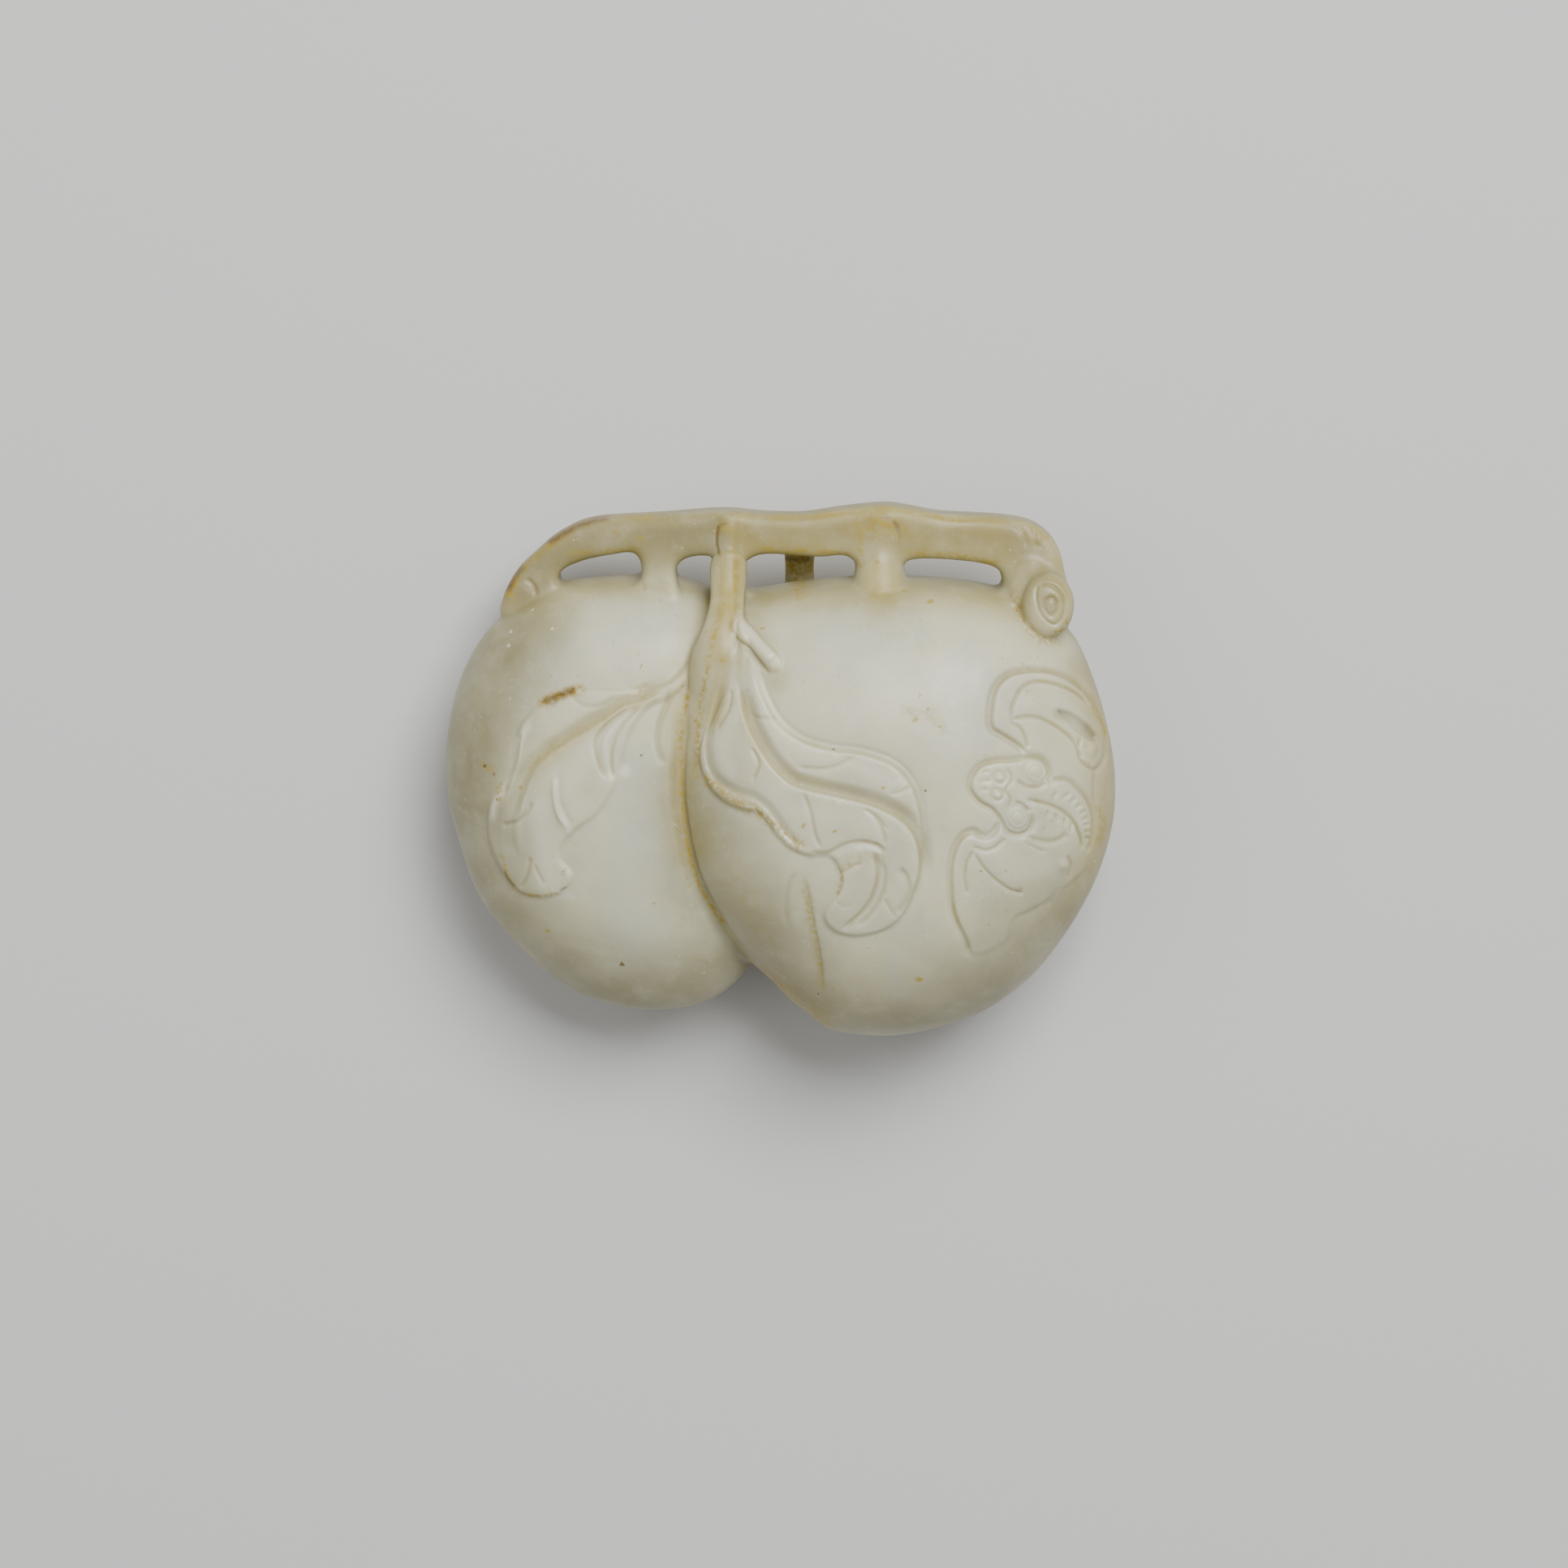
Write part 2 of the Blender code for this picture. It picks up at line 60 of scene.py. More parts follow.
# How carved lines end and deepen, and how squarely the skin has to face before it is carved
cutting = {
    "floor": 0.12,
    "taper": 0.12,
    "ridgeTaper": 0.3,
    "batTaper": 0.06,
    "fruitTaper": 0.25,
    "plainTaper": 0.2,
    "edgeOn": 0.02,
    "facing": (0.05, 0.3),
}


def onDrawing(points):
    # points are written as x, y, x, y
    return (np.reshape(points, (-1, 2)) - drawing["middle"]) * (square, -square)


def atHeight(points, height):
    # where drawn points lie in the frame, once their height is known
    drawn = onDrawing(points)
    above = height - drawing["height"]
    cosine = math.cos(drawing["lean"])
    sine = math.sin(drawing["lean"])
    y = drawn[:, 1] * (drawing["distance"] - above * cosine) + drawing["distance"] * above * sine
    y /= drawing["distance"] * cosine + drawn[:, 1] * sine
    x = drawn[:, 0] * (drawing["distance"] - above * cosine - y * sine) / drawing["distance"]
    return np.column_stack([x, y])


def seenInDrawing(places):
    # where points in space show on the drawing, in metres from its middle
    heights = places[:, 2] - drawing["height"]
    nearer = heights * math.cos(drawing["lean"]) + places[:, 1] * math.sin(drawing["lean"])
    upward = places[:, 1] * math.cos(drawing["lean"]) - heights * math.sin(drawing["lean"])
    scale = drawing["distance"] / (drawing["distance"] - nearer)
    return np.column_stack([places[:, 0] * scale, upward * scale])


def smoothStep(low, high, value):
    share = np.clip((value - low) / (high - low), 0, 1)
    return share * share * (3 - 2 * share)


def smoothCurve(points, closed=False, steps=6):
    points = np.asarray(points, float)
    if closed:
        padded = np.vstack([points[-1], points, points[:2]])
    else:
        padded = np.vstack([2 * points[0] - points[1], points, 2 * points[-1] - points[-2]])
    t = np.linspace(0, 1, steps, endpoint=False)[:, None]
    spans = []
    for a, b, c, d in zip(padded, padded[1:], padded[2:], padded[3:]):
        bend = (2 * a - 5 * b + 4 * c - d) * t**2 + (3 * b - a - 3 * c + d) * t**3
        spans.append(0.5 * (2 * b + (c - a) * t + bend))
    if not closed:
        spans.append(points[-1:])
    return np.vstack(spans)


def nearestOnCurve(places, curve, closed=False):
    # distance to the curve, which side of it, and how far along it
    ends = np.roll(curve, -1, axis=0) if closed else curve[1:]
    starts = curve if closed else curve[:-1]
    lengths = np.hypot(*(ends - starts).T)
    travelled = np.concatenate([[0], np.cumsum(lengths)])
    nearest = np.full(len(places), np.inf)
    side = np.zeros(len(places))
    along = np.zeros(len(places))
    for index, (start, end) in enumerate(zip(starts, ends)):
        run = end - start
        offset = places - start
        share = np.clip(offset @ run / max(run @ run, 1e-18), 0, 1)
        gap = offset - share[:, None] * run
        distance = np.hypot(gap[:, 0], gap[:, 1])
        closer = distance < nearest
        nearest[closer] = distance[closer]
        side[closer] = run[0] * offset[closer, 1] - run[1] * offset[closer, 0]
        along[closer] = (travelled[index] + share[closer] * lengths[index]) / travelled[-1]
    return nearest, side, along


def isInside(places, curve):
    within = np.zeros(len(places), bool)
    for (x0, y0), (x1, y1) in zip(curve, np.roll(curve, -1, axis=0)):
        if y0 == y1:
            continue
        crosses = (y0 > places[:, 1]) != (y1 > places[:, 1])
        within ^= crosses & (places[:, 0] < x0 + (places[:, 1] - y0) * (x1 - x0) / (y1 - y0))
    return within


def nearBox(places, curve, reach):
    return np.all((places > curve.min(axis=0) - reach) & (places < curve.max(axis=0) + reach), axis=1)


def cutLine(places, points, depth, left, right, taper=cutting["taper"], closed=False):
    # a carved line, whose two walls may slope differently; left and right are as one walks along it
    curve = smoothCurve(onDrawing(points), closed)
    near = nearBox(places, curve, max(left, right))
    taken = np.zeros(len(places))
    distance, side, along = nearestOnCurve(places[near], curve, closed)
    wall = 1 - smoothStep(cutting["floor"], 1, distance / np.where(side > 0, left, right))
    fade = 1 if closed else smoothStep(0, taper, along) * smoothStep(0, taper, 1 - along)
    taken[near] = depth * wall * fade
    return taken


def insideDistance(places, points, reach):
    curve = smoothCurve(onDrawing(points), closed=True)
    near = nearBox(places, curve, reach)
    inward = np.full(len(places), -reach)
    distance = nearestOnCurve(places[near], curve, closed=True)[0]
    inward[near] = np.where(isInside(places[near], curve), distance, -distance)
    return np.maximum(inward, -reach)


def raisedArea(places, points, height, sink, edge):
    # an area raised within the outline, with the ground sunk along its edge
    inward = insideDistance(places, points, 10 * edge)
    raised = height * smoothStep(-edge / 2, edge / 2, inward)
    sunk = sink * np.exp(-np.abs(inward) / (2 * edge)) * (1 - smoothStep(-edge / 2, edge / 2, inward))
    return raised - sunk


def bump(places, middle, radii, height):
    # a small rounded bump, or a dish where the height is negative
    offset = (places - onDrawing(middle)[0]) / (np.asarray(radii) * square)
    return height * (1 - smoothStep(0, 1, np.hypot(offset[:, 0], offset[:, 1])))


def ring(middle, radius, count=10):
    turns = [index / count * 2 * math.pi for index in range(count)]
    return [(middle[0] + radius * math.cos(turn), middle[1] - radius * math.sin(turn)) for turn in turns]


# The two fruits, whose outlines run round them as drawn
leftPeach = {
    "middle": (790, 975),
    "depth": 19 * mm,
    "fullness": 2.3,
    "outline": [
        621, 760, 590, 793, 570, 830, 557, 870, 550, 910, 549, 950, 552, 990, 560, 1022, 578, 1080,
        599, 1121, 637, 1165, 677, 1203, 719, 1228, 760, 1241, 800, 1246, 840, 1244, 882, 1230, 914, 1203,
        940, 1160, 980, 1100, 1005, 1040, 1012, 960, 990, 870, 950, 790, 900, 738, 850, 718, 800, 711,
        740, 714, 680, 724,
    ],
}
rightPeach = {
    "middle": (1105, 995),
    "depth": 24 * mm,
    "fullness": 2.3,
    "outline": [
        1217, 724, 1265, 738, 1313, 776, 1333, 806, 1354, 862, 1368, 920, 1373, 970, 1369, 1020, 1351, 1080,
        1319, 1140, 1273, 1200, 1222, 1240, 1170, 1262, 1110, 1276, 1060, 1276, 1017, 1268, 990, 1246,
        973, 1234, 945, 1205, 915, 1180, 868, 1140, 828, 1085, 808, 1020, 804, 940, 818, 860, 850, 790,
        895, 742, 949, 726, 1003, 718, 1060, 714, 1120, 714, 1170, 717,
    ],
}


def meshObject(name, shape):
    mesh = bpy.data.meshes.new(name)
    shape.to_mesh(mesh)
    shape.free()
    made = bpy.data.objects.new(name, mesh)
    bpy.context.scene.collection.objects.link(made)
    return made


def makePeach(name, peach):
    middle = atHeight(peach["middle"], peach["depth"] / 2)[0]
    spokes = smoothCurve(atHeight(peach["outline"], peach["depth"] / 2), closed=True) - middle
    angles = np.arctan2(spokes[:, 1], spokes[:, 0])
    order = np.argsort(angles)
    radii = np.hypot(spokes[:, 0], spokes[:, 1])
    ball = bmesh.new()
    bmesh.ops.create_icosphere(ball, subdivisions=6, radius=1)
    unit = np.array([vertex.co for vertex in ball.verts])
    around = np.arctan2(unit[:, 1], unit[:, 0])
    radius = np.interp(around, angles[order], radii[order], period=2 * math.pi)
    flat = np.hypot(unit[:, 0], unit[:, 1])
    power = peach["fullness"]
    swell = (flat**power + np.abs(unit[:, 2]) ** power) ** (-1 / power)
    across = middle + unit[:, :2] * (swell * radius)[:, None]
    heights = peach["depth"] / 2 - meshing["restingCut"] + unit[:, 2] * swell * peach["depth"] / 2
    for vertex, (x, y), z in zip(ball.verts, across, heights):
        vertex.co = (x, y, z)
    return meshObject(name, ball)


# The openwork branch: its outer edge closes inside the fruits
branch = {
    "depth": 6.2 * mm,
    "rounding": 1.0 * mm,
    "strips": 24,
    "heights": (8.2, 3.4, 0.6),
    "firstRise": (0.05, 0.5),
    "lastRise": (0.6, 1),
    "outline": [
        621, 759, 620, 740, 626, 722, 640, 700, 660, 681, 680, 663, 700, 651, 720, 642, 750, 637, 820, 633,
        890, 628, 940, 632, 990, 633, 1030, 627, 1087, 621, 1119, 625, 1158, 632, 1230, 636, 1272, 645,
        1299, 670, 1309, 707, 1317, 743, 1313, 770, 1280, 800, 1200, 800, 1080, 790, 950, 800, 800, 790,
        680, 800,
    ],
    "gaps": [
        [689, 712, 695, 700, 720, 689, 755, 682, 782, 680, 791, 700, 782, 717, 730, 720, 700, 723],
        [833, 705, 838, 691, 855, 684, 878, 685, 886, 700, 888, 735, 878, 765, 858, 765, 842, 735],
        [908, 718, 912, 697, 936, 682, 980, 683, 1010, 685, 1040, 683, 1056, 698, 1048, 718, 1003, 725,
          960, 730, 929, 728],
        [1106, 705, 1115, 690, 1146, 687, 1203, 692, 1228, 701, 1233, 718, 1220, 729, 1194, 725, 1146, 722,
          1114, 719],
    ],
}


def branchHeight(x):
    # the branch comes forward twice on its way to the right
    share = x / drawing["carvingWidth"] + 0.5
    start, first, last = branch["heights"]
    first *= smoothStep(*branch["firstRise"], share)
    last *= smoothStep(*branch["lastRise"], share)
    return (start + first + last) * mm


def meshFromCurve(name, drawn):
    bpy.context.view_layer.update()
    evaluated = drawn.evaluated_get(bpy.context.evaluated_depsgraph_get())
    mesh = bpy.data.meshes.new_from_object(evaluated)
    made = bpy.data.objects.new(name, mesh)
    bpy.context.scene.collection.objects.link(made)
    bpy.data.objects.remove(drawn)
    welded = bmesh.new()
    welded.from_mesh(mesh)
    bmesh.ops.remove_doubles(welded, verts=welded.verts, dist=1e-6)
    bmesh.ops.recalc_face_normals(welded, faces=welded.faces)
    welded.to_mesh(mesh)
    welded.free()
    return made


def cutAcross(target):
    # edges across the branch at short steps, so that its long faces can bend with it
    strips = bmesh.new()
    strips.from_mesh(target.data)
    for step in range(1, branch["strips"]):
        x = (step / branch["strips"] - 0.5) * drawing["carvingWidth"]
        whole = strips.verts[:] + strips.edges[:] + strips.faces[:]
        bmesh.ops.bisect_plane(strips, geom=whole, plane_co=(x, 0, 0), plane_no=(1, 0, 0), dist=1e-7)
    strips.to_mesh(target.data)
    strips.free()


def makeBranch():
    curve = bpy.data.curves.new("branchCurve", "CURVE")
    curve.dimensions = "2D"
    curve.fill_mode = "BOTH"
    for points in [branch["outline"]] + branch["gaps"]:
        edgeHeight = branchHeight(onDrawing(points)[:, 0]) - branch["depth"] / 4
        path = smoothCurve(atHeight(points, edgeHeight), closed=True, steps=4)
        spline = curve.splines.new("POLY")
        spline.points.add(len(path) - 1)
        spline.use_cyclic_u = True
        for point, (x, y) in zip(spline.points, path):
            point.co = (x, y, 0, 1)
    curve.extrude = branch["depth"] / 2 - branch["rounding"]
    curve.bevel_depth = branch["rounding"]
    curve.bevel_resolution = 4
    curve.offset = -branch["rounding"]
    drawn = bpy.data.objects.new("branchCurve", curve)
    bpy.context.scene.collection.objects.link(drawn)
    made = meshFromCurve("branch", drawn)
    cutAcross(made)
    for vertex in made.data.vertices:
        vertex.co.z += branchHeight(vertex.co.x)
    return made


# Stems and posts: x and y as drawn, then height and radius in millimetres
stems = {
    "frontStem": [(899, 638, 13.4, 1.4), (898, 652, 13.5, 1.4), (896, 690, 13.7, 1.4),
                  (896, 735, 14.8, 1.45), (894, 770, 15.9, 1.95), (890, 808, 16.5, 2.6),
                  (884, 850, 15.9, 2.9), (876, 890, 14.6, 2.4)],
    "twig": [(908, 765, 16.6, 0.8), (930, 797, 18.9, 0.8), (952, 818, 20.2, 0.75)],
    "frontPost": [(1085, 634, 12.9, 2.1), (1085, 650, 12.9, 2.1), (1083, 690, 13.0, 2.1),
                  (1083, 735, 14.0, 2.5), (1083, 765, 15.0, 1.8)],
    "rightEnd": [(1232, 664, 11.0, 1.9), (1258, 684, 12.2, 2.4), (1270, 716, 13.4, 2.7),
                 (1276, 752, 14.6, 2.7)],
    "backPost": [(985, 664, 8.4, 1.6), (984, 700, 6.6, 1.35), (984, 745, 4.6, 1.5), (978, 800, 3.4, 1.4),
                 (966, 850, 3.4, 1.0)],
}


def makeStem(name, points):
    heights = np.array([(z * mm, radius * mm) for _, _, z, radius in points])
    flat = atHeight([(x, y) for x, y, _, _ in points], heights[:, 0])
    path = smoothCurve(np.hstack([flat, heights]))
    curve = bpy.data.curves.new(name, "CURVE")
    curve.dimensions = "3D"
    curve.bevel_depth = 1.0
    curve.bevel_resolution = 6
    curve.use_fill_caps = True
    spline = curve.splines.new("POLY")
    spline.points.add(len(path) - 1)
    for point, (x, y, z, radius) in zip(spline.points, path):
        point.co = (x, y, z, 1)
        point.radius = radius
    drawn = bpy.data.objects.new(name + "Curve", curve)
    bpy.context.scene.collection.objects.link(drawn)
    return meshFromCurve(name, drawn)


# The cut end of the branch, an oval boss with growth rings
scroll = {
    "middle": (1290, 748),
    "radii": (32, 40),
    "height": 16.2 * mm,
    "halfDepth": 2.6 * mm,
    "fullness": 3.2,
    "ringCut": (0.22 * mm, 0.2 * mm, 0.26 * mm),
    "outerRing": [
        1275, 738, 1276, 728, 1283, 724, 1293, 724, 1304, 731, 1311, 742, 1311, 756, 1306, 769, 1297, 774,
        1285, 765, 1278, 752,
    ],
    "innerRing": [1292, 762, 1286, 752, 1289, 742, 1296, 740, 1301, 747, 1300, 757, 1295, 763],
}


def makeScroll():
    x, y = atHeight(scroll["middle"], scroll["height"])[0]
    power = scroll["fullness"]
    boss = bmesh.new()
    bmesh.ops.create_uvsphere(boss, u_segments=48, v_segments=28, radius=1)
    for vertex in boss.verts:
        flat = math.hypot(vertex.co.x, vertex.co.y)
        swell = (flat**power + abs(vertex.co.z) ** power) ** (-1 / power)
        vertex.co = (
            x + vertex.co.x * swell * scroll["radii"][0] * square,
            y + vertex.co.y * swell * scroll["radii"][1] * square,
            scroll["height"] + vertex.co.z * swell * scroll["halfDepth"],
        )
    return meshObject("scroll", boss)


# The raised leaves, stem and twig
foliage = {
    "leftHeight": 0.2 * mm,
    "leftSink": 0.12 * mm,
    "rightHeight": 0.25 * mm,
    "rightSink": 0.16 * mm,
    "edge": 0.6 * mm,
    "stemHeight": 0.45 * mm,
    "stemSinks": (790, 920),
    "twigHeight": 0.16 * mm,
    "twigSink": 0.1 * mm,
    "twigEdge": 0.5 * mm,
    "twig": [
        900, 780, 910, 764, 926, 776, 940, 792, 953, 805, 962, 818, 959, 829, 948, 829, 934, 815, 920, 799,
    ],
    "stem": [
        880, 690, 877, 741, 870, 770, 857, 802, 850, 832, 846, 868, 848, 905, 857, 935, 875, 915, 895, 880,
        912, 845, 920, 800, 916, 770, 914, 743, 915, 690,
    ],
    "leftLeaf": [
        856, 800, 843, 826, 821, 846, 787, 855, 759, 854, 725, 853, 703, 855, 672, 867, 647, 890, 636, 914,
        630, 945, 620, 975, 603, 997, 600, 1021, 605, 1048, 618, 1076, 632, 1095, 648, 1105, 669, 1108,
        687, 1104, 701, 1091, 703, 1081, 696, 1072, 689, 1062, 688, 1052, 693, 1041, 701, 1031, 713, 1021,
        730, 1009, 744, 992, 754, 974, 760, 955, 768, 925, 780, 895, 800, 872, 825, 862, 850, 838, 864, 812,
    ],
    "rightLeaf": [
        912, 800, 924, 808, 934, 835, 944, 862, 958, 887, 976, 905, 996, 917, 1028, 924, 1062, 929,
        1099, 942, 1120, 962, 1131, 985, 1135, 1015, 1135, 1060, 1131, 1083, 1122, 1106, 1114, 1125,
        1103, 1139, 1087, 1149, 1070, 1154, 1050, 1156, 1032, 1152, 1020, 1143, 1015, 1132, 1021, 1119,
        1031, 1106, 1036, 1091, 1035, 1076, 1024, 1060, 1000, 1058, 976, 1050, 960, 1036, 947, 1018,
        934, 1004, 912, 1000, 893, 991, 877, 977, 866, 957, 861, 934, 866, 911, 880, 880, 892, 850, 902, 822,
    ],
}

# Carved lines are (points, depth, left wall, right wall), the last three in millimetres
# A line of negative depth is a ridge, and the stem's folds stand after those of the leaves
folds = [
    ([815, 851, 790, 862, 768, 870, 720, 900, 672, 931, 652, 954, 640, 985, 634, 1016], 0.34, 0.55, 1.1),
    ([778, 872, 752, 892, 737, 908, 733, 922, 738, 945, 748, 965], 0.3, 0.9, 0.3),
    ([790, 872, 768, 893, 756, 915, 752, 940, 757, 966], 0.22, 0.3, 0.8),
    ([642, 905, 637, 925, 632, 950, 620, 985], 0.22, 0.3, 0.7),
    ([646, 972, 642, 995, 638, 1021, 641, 1046, 650, 1060], -0.16, 0.6, 0.6),
    ([683, 958, 683, 985, 687, 1005, 695, 1019, 702, 1029], -0.26, 0.3, 0.3),
    ([690, 958, 690, 983, 694, 1002, 701, 1014, 708, 1020], 0.07, 0.4, 0.2),
    ([648, 900, 643, 920, 641, 942, 634, 962], -0.2, 0.3, 0.3),
    ([921, 812, 932, 842, 942, 867, 956, 892, 975, 909, 996, 920, 1028, 928, 1062, 932, 1098, 945, 1117, 963,
      1129, 987, 1134, 1015, 1136, 1060, 1131, 1088, 1116, 1123, 1098, 1144], 0.26, 0.85, 0.25),
    ([910, 838, 914, 862, 922, 893, 936, 922, 954, 948, 975, 967, 1000, 976, 1038, 984, 1075, 994,
      1103, 1007, 1122, 1024, 1132, 1046, 1134, 1075, 1126, 1104], 0.58, 1.35, 0.36),
    ([893, 838, 882, 868, 873, 900, 870, 925, 873, 948, 884, 966, 905, 979, 927, 986, 943, 998, 956, 1014,
      968, 1032, 982, 1043, 1000, 1050], 0.2, 0.8, 0.22),
    ([996, 1053, 1018, 1054, 1032, 1047, 1047, 1041, 1063, 1040, 1080, 1044, 1093, 1054], 0.24, 0.22, 0.7),
    ([1073, 1052, 1079, 1068, 1079, 1088, 1072, 1110, 1059, 1128, 1035, 1149], 0.3, 0.6, 0.24),
    ([1086, 1062, 1090, 1082, 1087, 1102, 1079, 1119, 1066, 1135, 1052, 1146], 0.2, 0.3, 0.5),
    ([1108, 1070, 1118, 1086, 1120, 1103, 1114, 1118, 1104, 1132], 0.24, 0.24, 0.7),
    ([824, 852, 820, 870, 812, 890, 808, 910, 810, 930, 817, 948], 0.26, 0.5, 0.24),
    ([906, 690, 907, 740, 909, 780, 908, 815], 0.12, 0.4, 0.5),
    ([911, 786, 923, 804, 937, 822, 948, 834], 0.22, 0.2, 0.3),
]
veins = [
    ([656, 990, 650, 1004, 638, 1015, 618, 1021], 0.2, 0.2, 0.35),
    ([653, 1058, 649, 1080, 641, 1098], 0.18, 0.35, 0.2),
    ([658, 1068, 663, 1080, 670, 1093], 0.12, 0.25, 0.2),
    ([700, 858, 715, 872, 735, 874, 760, 862], 0.1, 0.4, 0.3),
    ([989, 978, 998, 1004, 1004, 1032, 1012, 1050], 0.2, 0.2, 0.3),
    ([980, 948, 1002, 950, 1026, 948, 1053, 935], 0.16, 0.22, 0.32),
    ([902, 852, 898, 878, 883, 903], 0.2, 0.2, 0.32),
    ([926, 924, 934, 940, 934, 950, 927, 966], 0.2, 0.2, 0.3),
    ([922, 884, 938, 888, 957, 887], 0.12, 0.2, 0.3),
    ([1097, 982, 1108, 979, 1122, 972], 0.16, 0.18, 0.25),
    ([1063, 998, 1080, 1012, 1089, 1032, 1090, 1046], 0.18, 0.2, 0.3),
    ([1070, 1002, 1084, 1014, 1094, 1026], 0.12, 0.16, 0.2),
    ([1036, 1080, 1049, 1071, 1062, 1066], 0.14, 0.18, 0.22),
    ([1089, 1110, 1096, 1123, 1105, 1135], 0.16, 0.18, 0.22),
    ([1028, 1112, 1040, 1121, 1048, 1116], 0.06, 0.2, 0.2),
]
stemVeins = [
    ([896, 649, 886, 652, 882, 662, 882, 676, 886, 690], 0.16, 0.18, 0.18),
    ([889, 700, 887, 740, 882, 780], 0.05, 0.2, 0.2),
    ([898, 720, 897, 760, 894, 800], 0.05, 0.2, 0.2),
]

bat = {
    "height": 0.14 * mm,
    "outline": [
        1195, 969, 1206, 950, 1228, 943, 1258, 938, 1254, 922, 1236, 909, 1221, 894, 1222, 864, 1236, 840,
        1264, 831, 1295, 833, 1330, 853, 1355, 893, 1360, 930, 1348, 950, 1345, 1010, 1340, 1065, 1318, 1093,
        1291, 1112, 1254, 1131, 1240, 1160, 1195, 1178, 1176, 1133, 1171, 1098, 1173, 1062, 1186, 1036,
        1208, 1035, 1228, 1026, 1222, 1001, 1203, 988,
    ],
    "lines": [
        ([1268, 940, 1262, 929, 1252, 920, 1235, 909, 1223, 902, 1220, 890, 1223, 862, 1231, 845, 1246, 834,
          1267, 830, 1291, 831, 1313, 839, 1334, 855, 1348, 874, 1357, 893, 1361, 915, 1357, 940], 0.36,
          0.62, 0.28),
        ([1292, 975, 1292, 955, 1283, 940, 1266, 937, 1249, 941, 1227, 942, 1211, 946, 1200, 956, 1195, 970,
          1198, 981, 1208, 992, 1222, 1000, 1232, 1012, 1241, 1027, 1254, 1031, 1265, 1027, 1271, 1015,
          1268, 1003], 0.34, 0.24, 0.55),
        ([1235, 1010, 1229, 1025, 1219, 1035, 1208, 1035, 1198, 1029, 1187, 1034, 1178, 1047, 1172, 1068,
          1171, 1096, 1174, 1123, 1180, 1142, 1190, 1163, 1196, 1184], 0.36, 0.28, 0.62),
        ([1290, 966, 1313, 965, 1329, 978, 1340, 994, 1345, 1013, 1343, 1037, 1337, 1054], 0.26, 0.45, 0.22),
        ([1330, 912, 1328, 930, 1334, 943, 1347, 951, 1358, 942, 1361, 925], 0.2, 0.2, 0.35),
        ([1262, 1030, 1274, 1037, 1290, 1040, 1303, 1037, 1314, 1029], 0.16, 0.3, 0.5),
        ([1313, 1058, 1318, 1069, 1314, 1084], 0.18, 0.3, 0.2),
        ([1340, 1068, 1318, 1093, 1300, 1100, 1289, 1113, 1268, 1127, 1252, 1132, 1243, 1145, 1238, 1172],
          0.07, 0.5, 0.25),
        ([1348, 952, 1346, 970, 1346, 990], 0.1, 0.3, 0.3),
        ([1245, 889, 1246, 874, 1253, 858, 1262, 848, 1278, 843, 1302, 847, 1324, 857, 1341, 872], 0.28, 0.2,
          0.26),
        ([1242, 891, 1262, 887, 1278, 888, 1294, 895, 1308, 904, 1321, 916, 1333, 940], 0.28, 0.24, 0.22),
        ([1244, 892, 1257, 902, 1263, 914, 1265, 926], 0.22, 0.25, 0.22),
        ([1238, 951, 1245, 958, 1244, 968, 1238, 977, 1244, 988, 1241, 1000], 0.22, 0.16, 0.16),
        ([1252, 965, 1264, 972, 1276, 973, 1288, 969], 0.28, 0.2, 0.26),
        ([1250, 992, 1258, 994, 1268, 1003], 0.25, 0.2, 0.22),
        ([1262, 988, 1281, 992, 1297, 997, 1313, 1006, 1324, 1019, 1330, 1035, 1332, 1050], 0.31, 0.2, 0.26),
        ([1205, 967, 1220, 965], 0.17, 0.14, 0.14),
        ([1208, 956, 1218, 953], 0.14, 0.14, 0.14),
        ([1206, 978, 1216, 976], 0.14, 0.14, 0.14),
        ([1198, 1046, 1212, 1051, 1224, 1048, 1238, 1036], 0.25, 0.2, 0.24),
        ([1198, 1052, 1190, 1067, 1188, 1083, 1191, 1106], 0.25, 0.22, 0.2),
        ([1200, 1055, 1211, 1072, 1227, 1088, 1243, 1099, 1261, 1104], 0.25, 0.2, 0.22),
        ([1262, 1040, 1275, 1048, 1286, 1053], 0.14, 0.22, 0.22),
    ],
    "gouge": [1302, 879, 1318, 882, 1335, 893, 1349, 909, 1345, 917, 1328, 906, 1314, 894],
    "gougeDepth": 0.36 * mm,
    "ears": [(1275, 954), (1253, 1011)],
    "earRadius": 12,
    "earHeight": 0.14 * mm,
    "earRing": 8.5,
    "earCut": 0.15 * mm,
    "fine": 0.2 * mm,
    "eyes": [(1231, 962), (1228, 983)],
    "eyeRadius": 7,
    "eyeHeight": 0.3 * mm,
    "eyeCut": (0.2 * mm, 0.17 * mm, 0.17 * mm),
    "hatchCut": (0.22 * mm, 0.19 * mm, 0.19 * mm),
    "hatchTaper": 0.3,
    "hatching": [
        (1295, 986, 1302, 980), (1306, 987, 1318, 981), (1315, 993, 1326, 986), (1322, 1000, 1332, 994),
        (1327, 1007, 1337, 1002), (1330, 1014, 1340, 1010), (1332, 1021, 1342, 1018),
        (1333, 1028, 1343, 1027), (1334, 1035, 1342, 1036), (1289, 1001, 1290, 1011),
        (1299, 1004, 1302, 1017), (1310, 1009, 1311, 1022), (1320, 1015, 1317, 1030),
    ],
}

# Small raised drops: place as drawn, radii in squares, height in millimetres
drops = [((1308, 1069), (8, 11), 0.25), ((1343, 927), (8, 12), 0.2), ((1278, 667), (6, 11), 0.15)]

